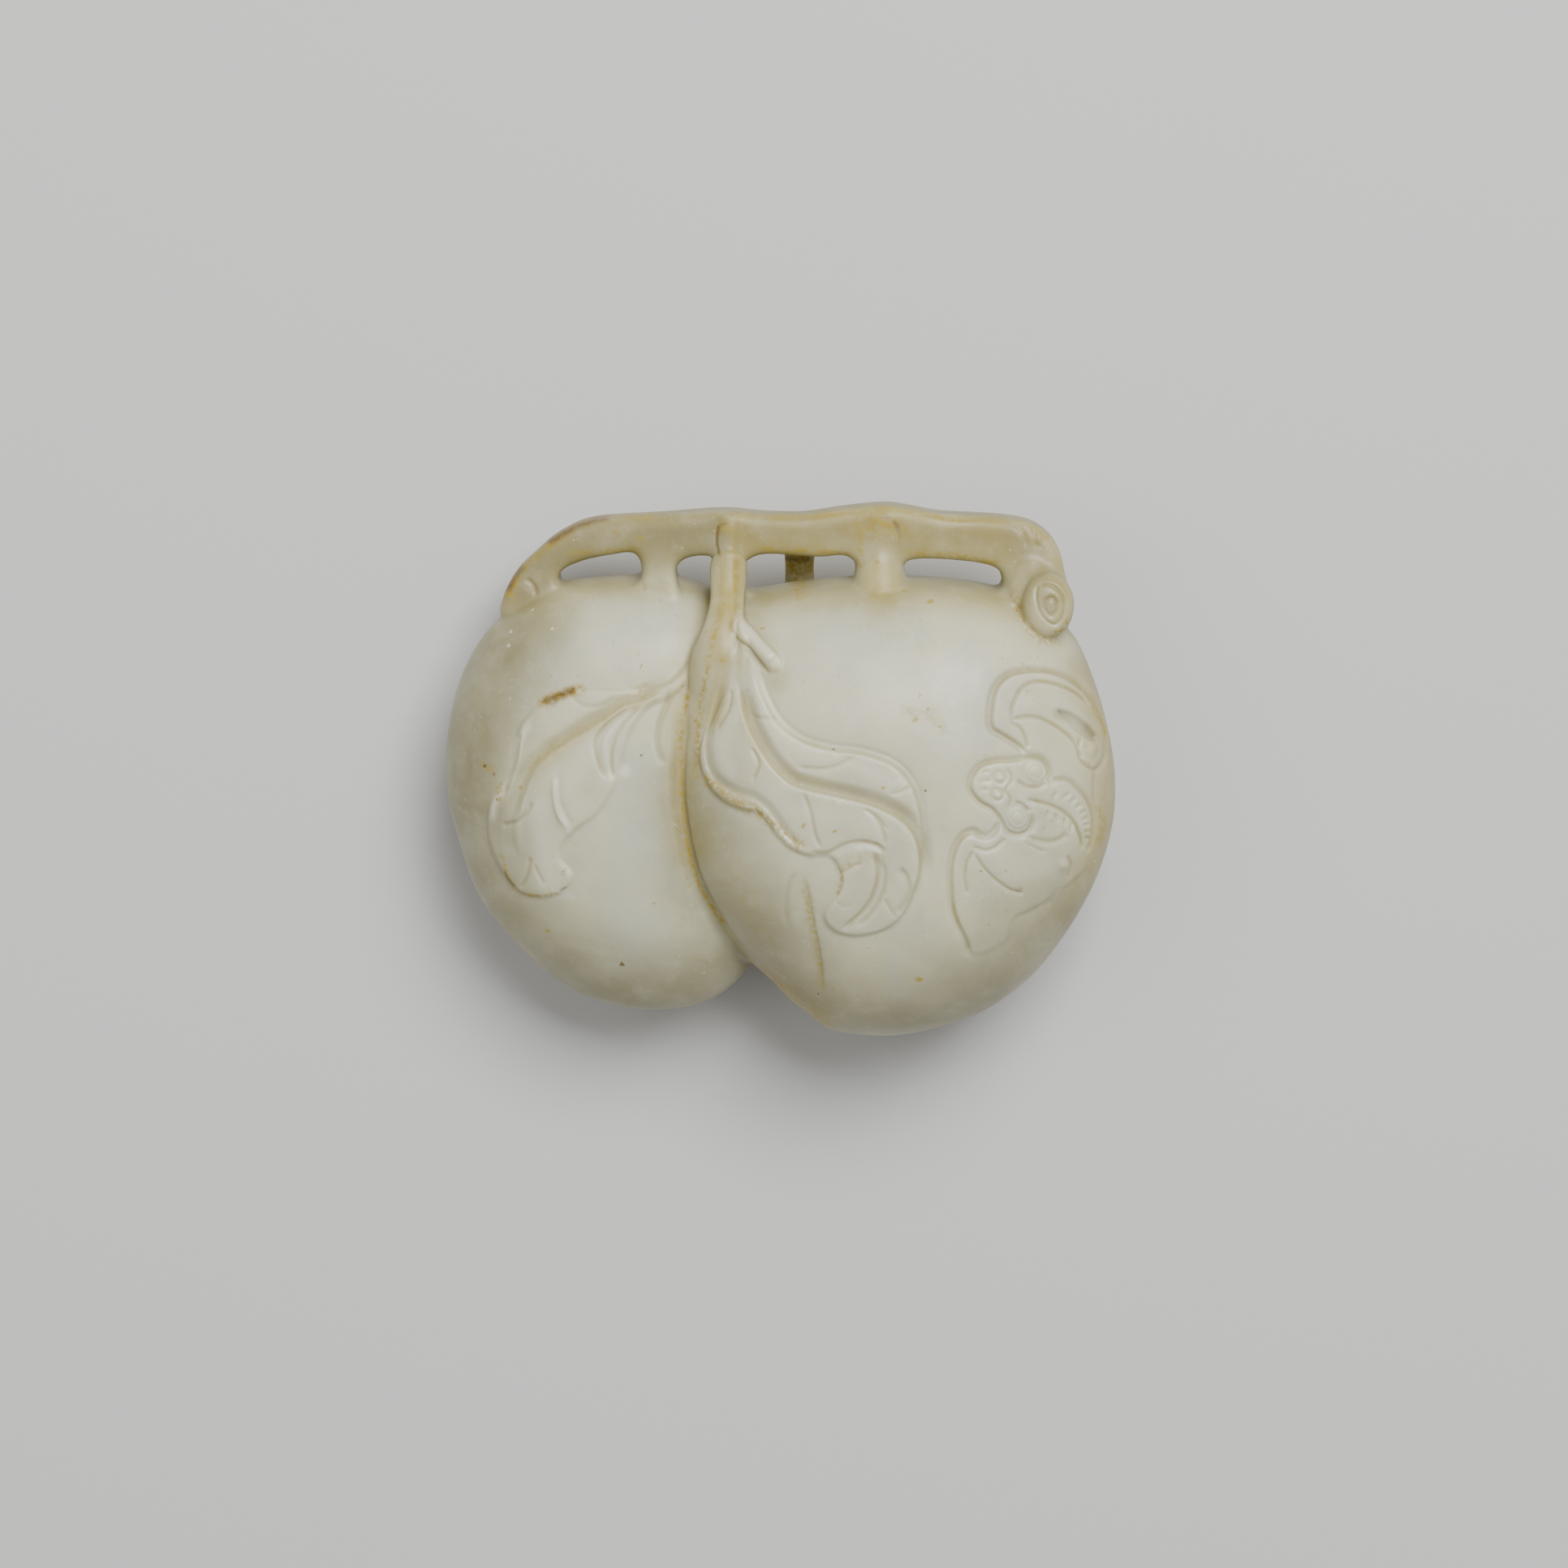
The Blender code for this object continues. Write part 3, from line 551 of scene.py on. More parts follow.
# The fruits' clefts and meeting line, and the creases on the branch
fruitLines = [
    ([986, 1074, 993, 1096, 997, 1120, 1001, 1145, 1007, 1175, 1011, 1205, 1012, 1240], 0.22, 0.3, 1.8),
    ([984, 1075, 974, 1086, 969, 1104, 967, 1126, 971, 1150], 0.1, 0.4, 0.4),
    ([846, 862, 838, 940, 839, 1000, 856, 1080, 890, 1145, 924, 1192], 0.4, 0.6, 1.2),
]
branchLines = [
    ([976, 641, 1005, 640, 1036, 637], 0.08, 0.3, 0.2),
    ([1138, 636, 1152, 640, 1178, 644, 1205, 643], 0.12, 0.3, 0.2),
    ([1244, 647, 1254, 654, 1261, 665, 1264, 680], 0.14, 0.5, 0.3),
    ([1269, 652, 1274, 662, 1277, 680], 0.1, 0.4, 0.3),
    ([646, 716, 655, 724, 660, 738], 0.2, 0.4, 0.3),
]

# The back is plainer: one veined leaf, a cleft, and the line where the fruits meet
backSide = {
    "height": 0.5 * mm,
    "leaf": [
        966, 838, 1000, 820, 1050, 812, 1110, 822, 1170, 852, 1216, 900, 1170, 898, 1110, 892, 1050, 884,
        1000, 868,
    ],
    "lines": [
        ([975, 846, 1050, 846, 1120, 858, 1190, 888], 0.4, 0.5, 0.5),
        ([985, 1080, 1000, 1130, 1010, 1200, 1003, 1250], 0.5, 0.7, 0.7),
        ([905, 742, 880, 850, 880, 960, 892, 1080, 918, 1180], 0.5, 0.7, 0.7),
        ([1040, 846, 1062, 828, 1090, 822], 0.18, 0.25, 0.3),
        ([1090, 853, 1115, 840, 1140, 842], 0.18, 0.25, 0.3),
        ([1040, 847, 1066, 864, 1096, 880], 0.18, 0.25, 0.3),
        ([1100, 856, 1126, 876, 1150, 888], 0.18, 0.25, 0.3),
    ],
}


def deepest(places, lines, taper=cutting["taper"]):
    cut = np.zeros(len(places))
    for points, depth, left, right in lines:
        if depth > 0:
            cut = np.maximum(cut, cutLine(places, points, depth * mm, left * mm, right * mm, taper))
    return cut


def ridges(places, lines):
    rise = np.zeros(len(places))
    for points, depth, left, right in lines:
        if depth < 0:
            taper = cutting["ridgeTaper"]
            rise += cutLine(places, points, -depth * mm, left * mm, right * mm, taper)
    return rise


def frontRelief(places):
    edge = foliage["edge"]
    raised = raisedArea(places, foliage["leftLeaf"], foliage["leftHeight"], foliage["leftSink"], edge)
    raised += raisedArea(places, foliage["rightLeaf"], foliage["rightHeight"], foliage["rightSink"], edge)
    onStem = raisedArea(places, foliage["stem"], 1, 0, edge)
    sinksFrom, sinksTo = [(row - drawing["middle"][1]) * square for row in foliage["stemSinks"]]
    stemRise = foliage["stemHeight"] * (1 - smoothStep(sinksFrom, sinksTo, -places[:, 1]))
    raised += onStem * (np.maximum(raised, stemRise) - raised)
    twigEdge = foliage["twigEdge"]
    raised += raisedArea(places, foliage["twig"], foliage["twigHeight"], foliage["twigSink"], twigEdge)
    raised += raisedArea(places, bat["outline"], bat["height"], 0, edge)
    raised += ridges(places, folds)
    cut = deepest(places, folds) + deepest(places, veins + stemVeins)
    cut += deepest(places, bat["lines"], cutting["batTaper"])
    for line in bat["hatching"]:
        cut += cutLine(places, line, *bat["hatchCut"], bat["hatchTaper"])
    for middle in bat["ears"]:
        disc = ring(middle, bat["earRadius"])
        raised += raisedArea(places, disc, bat["earHeight"], bat["earHeight"], bat["fine"])
        cut += cutLine(places, ring(middle, bat["earRing"]), *[bat["earCut"]] * 3, closed=True)
    cut += raisedArea(places, bat["gouge"], bat["gougeDepth"], 0, bat["fine"])
    for middle in bat["eyes"]:
        rim = ring(middle, bat["eyeRadius"])
        cut = np.maximum(cut, cutLine(places, rim, *bat["eyeCut"], closed=True))
        raised += bump(places, middle, [bat["eyeRadius"]] * 2, bat["eyeHeight"])
    for middle, radii, height in drops:
        raised += bump(places, middle, radii, height * mm)
    cut += deepest(places, fruitLines, cutting["fruitTaper"])
    cut += deepest(places, branchLines, cutting["plainTaper"])
    for points in (scroll["outerRing"], scroll["innerRing"]):
        cut = np.maximum(cut, cutLine(places, points, *scroll["ringCut"], closed=True))
    return raised - cut


def backRelief(places):
    raised = raisedArea(places, backSide["leaf"], backSide["height"], backSide["height"], foliage["edge"])
    return raised - deepest(places, backSide["lines"], cutting["plainTaper"])


def applyModifiers(target):
    bpy.context.view_layer.update()
    evaluated = target.evaluated_get(bpy.context.evaluated_depsgraph_get())
    mesh = bpy.data.meshes.new_from_object(evaluated)
    target.modifiers.clear()
    target.data = mesh


def readMesh(mesh, key, width):
    values = np.empty(len(mesh.vertices) * width)
    mesh.vertices.foreach_get(key, values)
    return values.reshape(-1, width)


def makeCarving():
    pieces = [makePeach("leftPeach", leftPeach), makePeach("rightPeach", rightPeach)]
    pieces += [makeBranch(), makeScroll()]
    pieces += [makeStem(name, points) for name, points in stems.items()]
    joined = bmesh.new()
    for piece in pieces:
        joined.from_mesh(piece.data)
        bpy.data.objects.remove(piece)
    carving = meshObject("jadeCarving", joined)
    remesh = carving.modifiers.new("oneSkin", "REMESH")
    remesh.mode = "VOXEL"
    remesh.voxel_size = meshing["voxel"]
    soften = carving.modifiers.new("soften", "SMOOTH")
    soften.factor = meshing["softeningFactor"]
    soften.iterations = meshing["softening"]
    applyModifiers(carving)
    print("blank:", len(carving.data.vertices), "vertices")

    places = readMesh(carving.data, "co", 3)
    normals = readMesh(carving.data, "normal", 3)
    front = normals[:, 2] > cutting["edgeOn"]
    back = normals[:, 2] < -cutting["edgeOn"]
    facing = smoothStep(*cutting["facing"], np.abs(normals[:, 2]))
    moved = np.zeros(len(places))
    moved[front] = frontRelief(seenInDrawing(places[front])) * facing[front]
    moved[back] = backRelief(places[back, :2]) * facing[back]
    places += normals * moved[:, None]
    places[:, 2] = np.maximum(places[:, 2], 0)
    carving.data.vertices.foreach_set("co", places.ravel())
    carving.data.update()
    print("relief carved")

    # thinned at a thousand times the size, where the plain stretches lose most triangles
    carving.data.transform(Matrix.Scale(1 / mm, 4))
    thin = carving.modifiers.new("thin", "DECIMATE")
    thin.ratio = min(1, meshing["triangles"] / (2 * len(carving.data.polygons)))
    applyModifiers(carving)
    carving.data.transform(Matrix.Scale(mm, 4))
    places = readMesh(carving.data, "co", 3)
    shift = (places[:, :2].min(axis=0) + places[:, :2].max(axis=0)) / 2
    places[:, :2] -= shift
    places[:, 2] = np.maximum(places[:, 2], 0)
    carving.data.vertices.foreach_set("co", places.ravel())
    carving.data.update()
    carving.data.shade_smooth()
    print("carving:", len(carving.data.polygons), "faces")
    return carving, shift


# Stains lie where the cuts hold dirt and along the edges: (points, half width in squares, strength)
ochreStains = [
    ([846, 862, 839, 900, 838, 940, 840, 1000, 847, 1045, 861, 1095, 890, 1140], 5, 1.0),
    ([838, 890, 832, 960, 838, 1030, 850, 1090], 11, 0.3),
    ([925, 1195, 950, 1212, 975, 1232, 995, 1248, 1020, 1264], 16, 0.7),
    ([690, 660, 715, 646, 750, 638, 800, 637], 9, 1.0),
    ([626, 735, 636, 708, 652, 690, 690, 660], 12, 1.0),
    ([800, 862, 760, 880, 720, 903, 690, 922, 660, 940], 13, 0.22),
    ([668, 868, 690, 859, 714, 853], 11, 1.0),
    ([1346, 876, 1356, 893, 1361, 910], 5, 0.9),
    ([1352, 1000, 1359, 1020, 1353, 1040], 8, 0.8),
    ([1318, 766, 1309, 777, 1300, 784], 6, 1.0),
    ([1250, 740, 1262, 770, 1280, 790, 1300, 795], 11, 0.7),
    ([1036, 1076, 1036, 1092, 1031, 1105], 4, 0.8),
    ([992, 1100, 998, 1136, 1006, 1175, 1012, 1215], 9, 0.5),
    ([868, 962, 900, 987, 930, 1002, 955, 1022, 985, 1046], 12, 0.75),
    ([700, 686, 740, 682, 785, 680], 5, 0.6),
    ([940, 680, 1000, 683, 1045, 684], 6, 0.7),
    ([1120, 686, 1180, 688, 1225, 697], 6, 0.7),
    ([1150, 640, 1180, 645, 1212, 643], 4, 0.8),
    ([950, 640, 1000, 640, 1035, 637], 4, 0.7),
    ([1060, 640, 1058, 670, 1060, 700], 8, 0.6),
    ([1072, 650, 1106, 650], 18, 0.9),
    ([970, 699, 996, 699], 20, 1.0),
    ([980, 705, 984, 735], 16, 0.7),
    ([885, 655, 900, 652], 10, 0.7),
    ([595, 945, 612, 962, 614, 990], 6, 0.8),
    ([1120, 880, 1145, 885, 1160, 900], 14, 0.45),
    ([870, 1030, 900, 1080, 940, 1150], 40, 0.15),
    ([882, 770, 872, 820, 862, 880, 856, 960], 7, 0.7),
    ([903, 660, 905, 700, 906, 760], 5, 0.5),
    ([1035, 1075, 1060, 1060, 1085, 1060], 8, 0.4),
    ([618, 1060, 628, 1090, 650, 1106, 685, 1105], 4, 0.7),
]
brownStains = [
    ([672, 867, 688, 861, 705, 854], 9, 1.0),
    ([884, 652, 882, 664, 882, 678, 886, 688], 2.5, 0.9),
    ([678, 670, 700, 656, 724, 646, 745, 641], 8, 1.0),
    ([626, 728, 634, 712, 642, 703], 7, 0.9),
    ([1085, 640, 1095, 641], 3.5, 0.8),
    ([1101, 646, 1108, 657], 4, 0.8),
    ([1069, 658, 1080, 664], 3.5, 0.8),
    ([966, 691, 980, 693, 995, 692], 4, 0.9),
    ([621, 1078, 626, 1087, 633, 1095], 2.5, 1.0),
    ([693, 1077, 697, 1074], 2, 0.9),
    ([690, 1100, 696, 1097], 2, 0.8),
]
# Honey-coloured stone on the branch, stem and posts; the stroke down the right edge is a painted lit rim
honeyAndLitRimAreas = [
    ([640, 730, 660, 700, 720, 665, 800, 655, 900, 655, 1000, 658, 1085, 655, 1180, 658, 1260, 672,
      1296, 720], 95, 1.0),
    ([897, 660, 897, 720, 893, 780, 890, 815], 46, 1.0),
    ([890, 800, 884, 850, 876, 890], 30, 0.7),
    ([1085, 630, 1085, 725], 60, 1.0),
    ([890, 735, 855, 800, 842, 860, 838, 960, 850, 1050], 42, 0.6),
    ([930, 760, 938, 800, 955, 840], 26, 0.4),
    ([700, 725, 850, 728], 26, 0.5),
    ([940, 740, 1080, 733, 1200, 738, 1270, 760], 36, 0.6),
    ([815, 850, 760, 878, 700, 912, 655, 950], 24, 0.45),
    ([912, 862, 930, 915, 970, 958, 1040, 980, 1110, 1005], 14, 0.4),
    ([1340, 830, 1362, 900, 1368, 980, 1355, 1060, 1320, 1130], 45, 0.65),
    ([940, 1190, 985, 1235, 1010, 1250], 40, 0.4),
]
# Painted shade, greyer and darker: round the left rim, between the fruits and along their undersides, and
# over the branch
paintedShadeAreas = [
    ([580, 1000, 588, 900, 608, 838, 645, 780], 105, 1.0),
    ([575, 1010, 610, 1120, 685, 1195, 770, 1230, 850, 1226, 920, 1180], 110, 0.8),
    ([860, 1000, 890, 1095, 950, 1180, 1030, 1240, 1130, 1256, 1230, 1220, 1310, 1130], 115, 0.75),
    ([640, 730, 680, 680, 740, 655], 70, 0.95),
    ([690, 680, 760, 662, 870, 658], 75, 0.95),
    ([930, 655, 1060, 655], 60, 0.6),
    ([1250, 660, 1274, 700, 1290, 735], 50, 0.8),
    ([640, 720, 648, 731], 12, 0.9),
    ([1303, 881, 1325, 890, 1347, 912], 12, 0.9),
    ([1110, 660, 1190, 662, 1240, 670], 60, 0.55),
]
# Milky and near white stone, with painted soft highlights on the bulges of the fruits
milkAndHighlightAreas = [
    ([690, 810, 760, 800, 830, 770], 60, 0.7),
    ([790, 940, 785, 1060, 780, 1160], 60, 0.8),
    ([1020, 810, 1100, 800, 1170, 830, 1170, 900], 75, 0.8),
    ([1235, 1040, 1290, 1075], 60, 0.6),
    ([1098, 1185, 1108, 1240], 20, 0.7),
]
# Painted highlights on ridges, leaf lobes, the twig and the bat's eyes
paintedHighlightAreas = [
    ([772, 882, 748, 912, 746, 940, 754, 962], 13, 0.8),
    ([735, 918, 712, 950, 700, 975, 712, 998], 22, 0.6),
    ([650, 896, 641, 912, 635, 938, 628, 962, 610, 990, 606, 1010], 7, 0.8),
    ([684, 962, 686, 990, 694, 1012, 701, 1027], 6, 0.9),
    ([664, 1000, 670, 1050, 676, 1092], 24, 0.6),
    ([876, 968, 912, 991, 938, 1007, 962, 1033, 996, 1051], 5, 0.6),
    ([1230, 961, 1232, 963], 6, 0.7),
    ([1227, 982, 1229, 984], 6, 0.7),
    ([935, 850, 958, 905, 1000, 935, 1060, 950, 1110, 975], 17, 0.7),
    ([900, 880, 888, 925, 900, 955], 14, 0.5),
    ([950, 975, 985, 1005, 1050, 1010, 1090, 1030], 20, 0.5),
    ([1262, 870, 1290, 865, 1330, 890], 14, 0.5),
    ([1200, 966, 1240, 966], 12, 0.4),
    ([1282, 968, 1318, 985, 1334, 1020], 12, 0.4),
    ([1215, 1045, 1250, 1075, 1290, 1070], 24, 0.4),
    ([914, 774, 932, 795, 953, 818], 10, 0.9),
    ([909, 760, 905, 805, 902, 850, 906, 890], 8, 0.6),
]


# Where the front and the edges begin, by how far the skin faces up, and how dirt fills the cuts
painting = {
    "front": (0.0, 0.25),
    "edges": (-0.35, 0.1),
    "dirtWidth": 0.3,
    "dirtyAt": 0.4 * mm,
    "backDirtyAt": 0.5 * mm,
}


def paintMask(carving, name, values):
    layer = carving.data.attributes.new(name, "FLOAT", "POINT")
    layer.data.foreach_set("value", np.clip(values, 0, 1).astype(np.float32))


def strokeMask(places, strokes):
    mask = np.zeros(len(places))
    for points, width, strength in strokes:
        curve = smoothCurve(onDrawing(points))
        reach = width * square
        near = nearBox(places, curve, reach)
        distance = nearestOnCurve(places[near], curve)[0]
        mask[near] = np.maximum(mask[near], strength * (1 - smoothStep(0, 1, distance / reach)))
    return mask


def paintCarving(carving, shift):
    places = readMesh(carving.data, "co", 3)
    normals = readMesh(carving.data, "normal", 3)
    places[:, :2] += shift
    drawn = seenInDrawing(places)
    front = smoothStep(*painting["front"], normals[:, 2])
    edges = smoothStep(*painting["edges"], normals[:, 2])
    facing = normals[:, 2] > 0
    recess = np.zeros(len(places))
    width = painting["dirtWidth"]
    lines = folds + veins + bat["lines"] + fruitLines + branchLines
    narrow = [(points, depth, min(left, width), min(right, width)) for points, depth, left, right in lines]
    recess[facing] = deepest(drawn[facing], narrow) / painting["dirtyAt"]
    behind = deepest(places[~facing, :2], backSide["lines"], cutting["plainTaper"])
    recess[~facing] = behind / painting["backDirtyAt"]
    paintMask(carving, "recess", recess)
    paintMask(carving, "ochre", strokeMask(drawn, ochreStains) * edges)
    paintMask(carving, "brown", strokeMask(drawn, brownStains) * edges)
    # honey tone with a painted lit rim, painted shade, and milky stone with painted highlights
    for name, strokes in (("honeyAndLitRim", honeyAndLitRimAreas), ("paintedShade", paintedShadeAreas), ("milkAndHighlight", milkAndHighlightAreas)):
        paintMask(carving, name, strokeMask(drawn, strokes))
    # painted highlights, only on skin that faces up
    paintMask(carving, "light", strokeMask(drawn, paintedHighlightAreas) * front)
    # how steeply the skin stands, used for painted shade on the rims
    paintMask(carving, "side", 1 - np.abs(normals[:, 2]))
    print("masks painted")


# Small pits and specks: x and y as drawn, and radius in squares
specks = {
    "dark": [
        (597, 947, 2.4), (608, 957, 2.0), (611, 988, 2.0), (765, 1192, 3.6), (1007, 1227, 2.0),
        (1026, 926, 2.0), (1140, 978, 2.6), (1207, 1077, 1.8), (790, 935, 2.4), (766, 1192, 2.6),
    ],
    "ochre": [
        (889, 818, 3.0), (788, 667, 4.0), (769, 657, 2.4), (909, 716, 2.6), (865, 855, 2.6),
        (856, 892, 2.6), (790, 824, 2.6), (787, 856, 2.6), (939, 778, 3.4), (1145, 745, 5.0),
        (1127, 890, 3.2), (1133, 861, 2.2), (1142, 878, 2.4), (1158, 899, 2.6), (990, 1021, 3.0),
        (1028, 1028, 2.4), (1131, 1211, 5.0), (674, 1150, 3.0), (641, 974, 3.2), (1080, 695, 4.0),
        (1087, 975, 3.0), (1218, 1143, 2.2), (757, 659, 3.0), (1113, 732, 2.4), (1104, 745, 2.6),
        (805, 1116, 2.2), (1293, 1162, 2.4), (1341, 839, 2.4),
    ],
    "white": [
        (629, 782, 3.4), (626, 798, 3.0), (680, 777, 3.0), (768, 953, 9.0), (1172, 870, 2.6),
        (655, 754, 2.6), (1347, 1065, 2.4),
    ],
}


# For each kind of speck, its colour and strength, and its soft edge as shares of the radius
speckLooks = {"white": ("white", 0.6), "ochre": ("ochre", 0.8), "dark": ("brown", 0.85)}
speckEdge = (0.5, 1.2)
speckFacing = 0.1

jade = {
    "pale": (0.61, 0.59, 0.405, 1),
    "grey": (0.51, 0.50, 0.355, 1),
    # colour of milky stone and of the painted highlights
    "milkAndHighlight": (0.545, 0.555, 0.445, 1),
    "light": (0.70, 0.69, 0.53, 1),
    "white": (0.76, 0.75, 0.64, 1),
    # colour of the painted shade
    "paintedShade": (0.24, 0.21, 0.10, 1),
    "honeyAndLitRim": (0.355, 0.27, 0.03, 1),
    "dirt": (0.38, 0.32, 0.11, 1),
    "ochre": (0.38, 0.265, 0.01, 1),
    "brown": (0.13, 0.07, 0.001, 1),
    "paintedHighlightStrength": 0.8,
    # how the painted shade on steep rims falls off, and how strong it is
    "rimShadeFalloff": 2.0,
    "rimShadeStrength": 0.8,
    "dirtDulls": 0.12,
    "ior": 1.61,
    "glow": 0.0028,
    "glowWeight": 0.55,
    "glowReach": (1.0, 0.92, 0.66),
    "raggedNoise": (2600, 2),
    "ragged": 0.0006,
}

# Clouds in the stone: the scale of a noise, where it begins and ends, and the least and most that it gives
cloudInputs = ("Scale", "Low", "High", "Least", "Most")
cloudNoise = {"Detail": 5, "Roughness": 0.6}
clouds = {
    "ground": (95, 0.38, 0.66, 0, 1),
    "drifts": (260, 0.62, 0.74, 0, 0.35),
    "milkAndHighlight": (120, 0.3, 0.6, 0, 1),
    "honeyAndLitRim": (190, 0.35, 0.65, 0.65, 1),
    "shade": (200, 0.3, 0.7, 0.7, 0.95),
    "mottling": (430, 0.46, 0.72, 0, 0.14),
    "flecks": (2600, 0.63, 0.72, 0, 1),
    "fleckPatches": (160, 0.4, 0.6, 0, 0.5),
    "rust": (2200, 0.58, 0.7, 0, 1),
    "rustPatches": (170, 0.48, 0.64, 0, 0.5),
    "dirt": (330, 0.4, 0.66, 0.4, 0.9),
    "grains": (2300, 0.44, 0.56, 0, 0.95),
    "stains": (600, 0.4, 0.65, 0, 0.25),
    "crust": (2500, 0.42, 0.58, 0.7, 1),
    "roughness": (180, 0.35, 0.65, 0.4, 0.54),
}

# Fine hand polish: soft waves and hair scratches, each a noise's scale and detail
polish = {
    "waves": (420, 3),
    "scratches": (900, 4),
    "scratchTurn": math.radians(24),
    "scratchStretch": (1, 9, 1),
    "scratchShare": 0.25,
    "strength": 0.25,
    "distance": 0.00012,
}


def mixColour(nodes, links, factor, first, second):
    mix = nodes.new("ShaderNodeMix")
    mix.data_type = "RGBA"
    links.new(factor, mix.inputs["Factor"])
    for given, name in ((first, "A"), (second, "B")):
        target = [entry for entry in mix.inputs if entry.name == name and entry.type == "RGBA"][0]
        if isinstance(given, tuple):
            target.default_value = given
        else:
            links.new(given, target)
    return [entry for entry in mix.outputs if entry.type == "RGBA"][0]


def calculate(nodes, links, kind, operation, values):
    # a node that calculates with sockets and fixed values
    node = nodes.new(kind)
    node.operation = operation
    for index, value in enumerate(values):
        if isinstance(value, (int, float, tuple)):
            node.inputs[index].default_value = value
        else:
            links.new(value, node.inputs[index])
    return node.outputs


def makeCloudGroup():
    # uneven clouds: a noise turned into a soft mask
    group = bpy.data.node_groups.new("clouds", "ShaderNodeTree")
    group.interface.new_socket(name="Vector", in_out="INPUT", socket_type="NodeSocketVector")
    for name in cloudInputs:
        group.interface.new_socket(name=name, in_out="INPUT", socket_type="NodeSocketFloat")
    group.interface.new_socket(name="Mask", in_out="OUTPUT", socket_type="NodeSocketFloat")
    nodes = group.nodes
    links = group.links
    given = nodes.new("NodeGroupInput")
    result = nodes.new("NodeGroupOutput")
    noise = nodes.new("ShaderNodeTexNoise")
    for name, value in cloudNoise.items():
        noise.inputs[name].default_value = value
    ramp = nodes.new("ShaderNodeMapRange")
    ramp.interpolation_type = "SMOOTHSTEP"
    links.new(given.outputs["Vector"], noise.inputs["Vector"])
    links.new(given.outputs["Scale"], noise.inputs["Scale"])
    links.new(noise.outputs["Fac"], ramp.inputs["Value"])
    for name, end in (("Low", "From Min"), ("High", "From Max"), ("Least", "To Min"), ("Most", "To Max")):
        links.new(given.outputs[name], ramp.inputs[end])
    links.new(ramp.outputs["Result"], result.inputs["Mask"])
    return group


def onSurface(carving, shift, points):
    # where drawn points meet the carving's front
    places = readMesh(carving.data, "co", 3)
    front = places[readMesh(carving.data, "normal", 3)[:, 2] > speckFacing]
    seen = seenInDrawing(front + np.append(shift, 0))
    found = []
    for point in points:
        away = np.hypot(*(seen - onDrawing(point)[0]).T)
        height = front[np.argmin(away), 2]
        flat = atHeight(point, height)[0] - shift
        found.append((flat[0], flat[1], height))
    return found


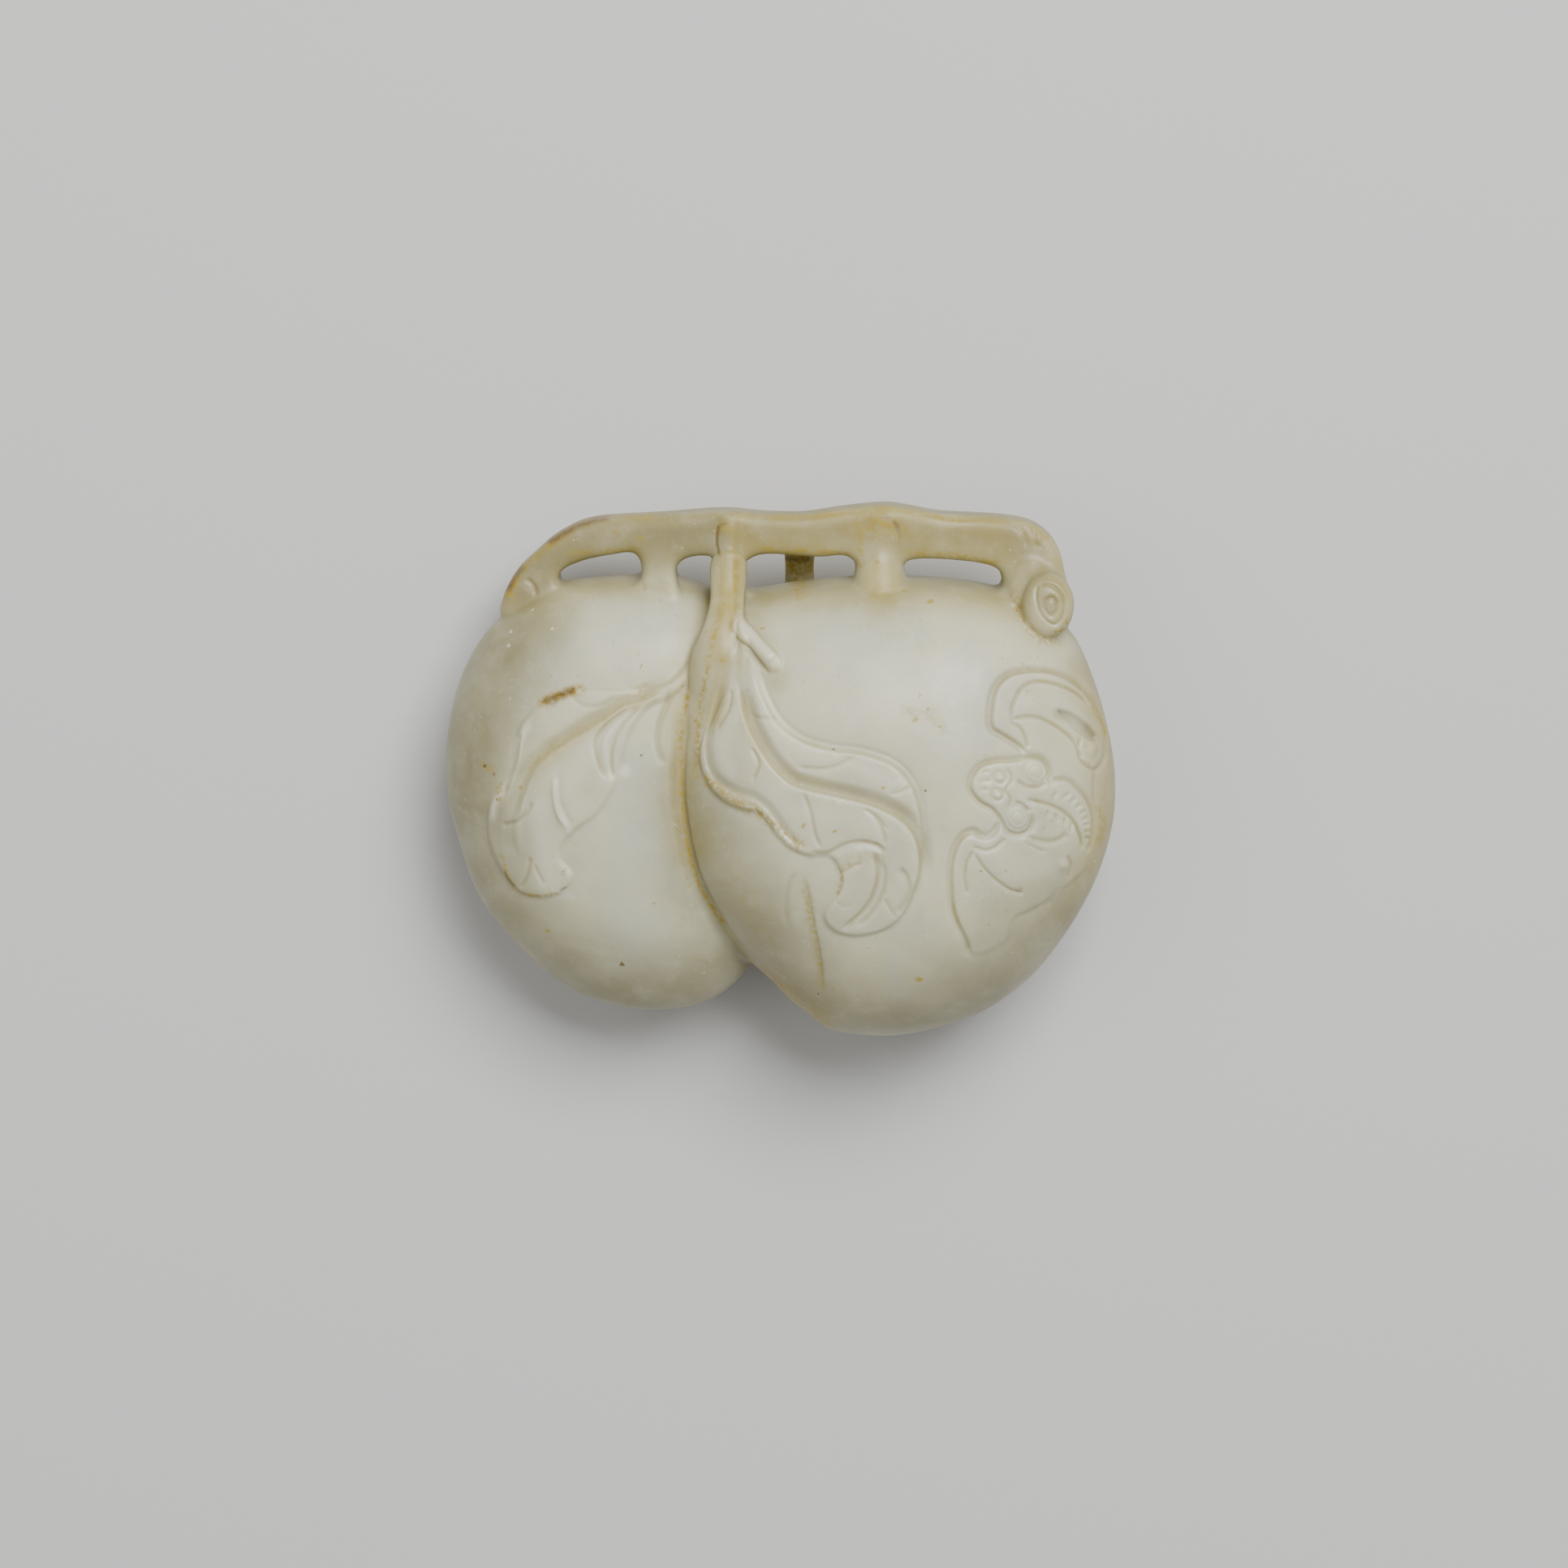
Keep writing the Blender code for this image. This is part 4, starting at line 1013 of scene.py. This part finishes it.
def makeJade(carving, shift):
    material = bpy.data.materials.new("paleJade")
    material.use_nodes = True
    nodes = material.node_tree.nodes
    links = material.node_tree.links
    shader = nodes["Principled BSDF"]
    cloudGroup = makeCloudGroup()
    place = nodes.new("ShaderNodeTexCoord").outputs["Object"]

    def mask(name):
        node = nodes.new("ShaderNodeAttribute")
        node.attribute_name = name
        return node.outputs["Fac"]

    def cloud(name):
        node = nodes.new("ShaderNodeGroup")
        node.node_tree = cloudGroup
        links.new(place, node.inputs["Vector"])
        for key, value in zip(cloudInputs, clouds[name]):
            node.inputs[key].default_value = value
        return node.outputs["Mask"]

    def noise(vector, scale, detail):
        node = nodes.new("ShaderNodeTexNoise")
        node.inputs["Scale"].default_value = scale
        node.inputs["Detail"].default_value = detail
        links.new(vector, node.inputs["Vector"])
        return node.outputs

    def combine(operation, *values):
        return calculate(nodes, links, "ShaderNodeMath", operation, values)["Value"]

    def combineVectors(operation, *values):
        return calculate(nodes, links, "ShaderNodeVectorMath", operation, values)

    def times(first, second):
        return combine("MULTIPLY", first, second)

    def tinted(colour, factor, name):
        return mixColour(nodes, links, factor, colour, jade[name])

    colour = tinted(jade["pale"], cloud("ground"), "grey")
    colour = tinted(colour, cloud("drifts"), "white")
    # milky stone and painted highlights
    colour = tinted(colour, times(mask("milkAndHighlight"), cloud("milkAndHighlight")), "milkAndHighlight")
    # honey tone, with the painted lit rim on the right edge
    colour = tinted(colour, times(mask("honeyAndLitRim"), cloud("honeyAndLitRim")), "honeyAndLitRim")
    # painted shade: steep sides and the painted shade areas are darkened towards olive
    steepShade = times(combine("POWER", mask("side"), jade["rimShadeFalloff"]), jade["rimShadeStrength"])
    shade = combine("MAXIMUM", steepShade, times(mask("paintedShade"), cloud("shade")))
    colour = tinted(colour, shade, "paintedShade")
    # painted highlights
    colour = tinted(colour, times(mask("light"), jade["paintedHighlightStrength"]), "light")
    colour = tinted(colour, cloud("mottling"), "light")
    colour = tinted(colour, times(cloud("flecks"), cloud("fleckPatches")), "white")
    colour = tinted(colour, times(cloud("rust"), cloud("rustPatches")), "ochre")
    colour = tinted(colour, times(mask("recess"), cloud("dirt")), "dirt")
    grains = combine("ADD", cloud("grains"), cloud("stains"))
    colour = tinted(colour, times(mask("ochre"), grains), "ochre")
    colour = tinted(colour, times(mask("brown"), cloud("crust")), "brown")

    # specks are ragged because the place that they are measured from is shaken a little
    shake = noise(place, *jade["raggedNoise"])["Color"]
    centred = combineVectors("SUBTRACT", shake, (0.5, 0.5, 0.5))["Vector"]
    scaled = combineVectors("MULTIPLY", centred, (jade["ragged"],) * 3)["Vector"]
    shaken = combineVectors("ADD", scaled, place)["Vector"]
    for kind, (tint, strength) in speckLooks.items():
        total = 0.0
        spots = onSurface(carving, shift, [(x, y) for x, y, _ in specks[kind]])
        for spot, (_, _, radius) in zip(spots, specks[kind]):
            ramp = nodes.new("ShaderNodeMapRange")
            ramp.interpolation_type = "SMOOTHSTEP"
            inner, outer = [radius * square * share for share in speckEdge]
            ends = {"From Min": inner, "From Max": outer, "To Min": strength, "To Max": 0}
            for end, value in ends.items():
                ramp.inputs[end].default_value = value
            links.new(combineVectors("DISTANCE", shaken, spot)["Value"], ramp.inputs["Value"])
            total = combine("MAXIMUM", total, ramp.outputs["Result"])
        colour = tinted(colour, total, tint)
    links.new(colour, shader.inputs["Base Color"])

    dull = combine("ADD", cloud("roughness"), times(mask("recess"), jade["dirtDulls"]))
    links.new(dull, shader.inputs["Roughness"])
    shader.inputs["Metallic"].default_value = 0
    shader.inputs["IOR"].default_value = jade["ior"]
    shader.inputs["Subsurface Weight"].default_value = jade["glowWeight"]
    shader.inputs["Subsurface Radius"].default_value = jade["glowReach"]
    shader.inputs["Subsurface Scale"].default_value = jade["glow"]

    stretch = nodes.new("ShaderNodeMapping")
    stretch.inputs["Rotation"].default_value = (0, 0, polish["scratchTurn"])
    stretch.inputs["Scale"].default_value = polish["scratchStretch"]
    links.new(place, stretch.inputs["Vector"])
    waves = noise(place, *polish["waves"])["Fac"]
    scratches = noise(stretch.outputs["Vector"], *polish["scratches"])["Fac"]
    relief = nodes.new("ShaderNodeBump")
    relief.inputs["Strength"].default_value = polish["strength"]
    relief.inputs["Distance"].default_value = polish["distance"]
    links.new(combine("ADD", waves, times(scratches, polish["scratchShare"])), relief.inputs["Height"])
    links.new(relief.outputs["Normal"], shader.inputs["Normal"])
    return material


carving, shift = makeCarving()
paintCarving(carving, shift)
carving.data.materials.clear()
carving.data.materials.append(makeJade(carving, shift))
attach(carving, "root")
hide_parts("double_peach_carving")
print("jade dressed")

studio = {
    "floorSize": 3.0,
    "floorColour": (0.62, 0.62, 0.61, 1),
    "floorRoughness": 0.8,
    "backgroundColour": (1.0, 0.99, 0.97, 1),
    "backgroundStrength": 0.3,
    "litPlace": (0, 0, 0.01),
    "keyLight": (10.0, 0.45, (0.22, 0.45, 0.7)),
    "fillLight": (1.6, 0.6, (-0.5, 0.1, 0.7)),
    "frameSquares": 1932,
    "lens": 120,
    "sensor": 36,
}


def makeFloor():
    sheet = bmesh.new()
    bmesh.ops.create_grid(sheet, x_segments=1, y_segments=1, size=studio["floorSize"] / 2)
    floor = meshObject("studioFloor", sheet)
    material = bpy.data.materials.new("studioFloor")
    material.use_nodes = True
    shader = material.node_tree.nodes["Principled BSDF"]
    shader.inputs["Base Color"].default_value = studio["floorColour"]
    shader.inputs["Roughness"].default_value = studio["floorRoughness"]
    floor.data.materials.append(material)


def makeLight(name):
    power, size, place = studio[name]
    lamp = bpy.data.lights.new(name, "AREA")
    lamp.energy = power
    lamp.size = size
    made = bpy.data.objects.new(name, lamp)
    made.location = place
    towards = Vector(studio["litPlace"]) - Vector(place)
    made.rotation_euler = towards.to_track_quat("-Z", "Y").to_euler()
    bpy.context.scene.collection.objects.link(made)


def makeWorld():
    world = bpy.data.worlds.new("studioWorld")
    world.use_nodes = True
    sky = world.node_tree.nodes["Background"]
    sky.inputs["Color"].default_value = studio["backgroundColour"]
    sky.inputs["Strength"].default_value = studio["backgroundStrength"]
    bpy.context.scene.world = world


def makeCamera():
    # the frame is 1932 squares of the drawing across, and the carving stands a little off its middle
    frameSquares = studio["frameSquares"]
    camera = bpy.data.cameras.new("camera")
    camera.lens = studio["lens"]
    camera.sensor_width = studio["sensor"]
    made = bpy.data.objects.new("camera", camera)
    distance = frameSquares * square * studio["lens"] / studio["sensor"]
    lean = drawing["lean"]
    aim = Vector((0, 0, drawing["height"]))
    across = (frameSquares / 2 - drawing["middle"][0]) * square
    upward = (drawing["middle"][1] - frameSquares / 2) * square
    up = Vector((0, math.cos(lean), -math.sin(lean)))
    aim += Vector((across, 0, 0)) + up * upward
    made.location = aim + Vector((0, math.sin(lean), math.cos(lean))) * distance
    made.rotation_euler = (-lean, 0, 0)
    bpy.context.scene.collection.objects.link(made)
    bpy.context.scene.camera = made


makeFloor()
makeLight("keyLight")
makeLight("fillLight")
makeWorld()
makeCamera()
print("studio set")
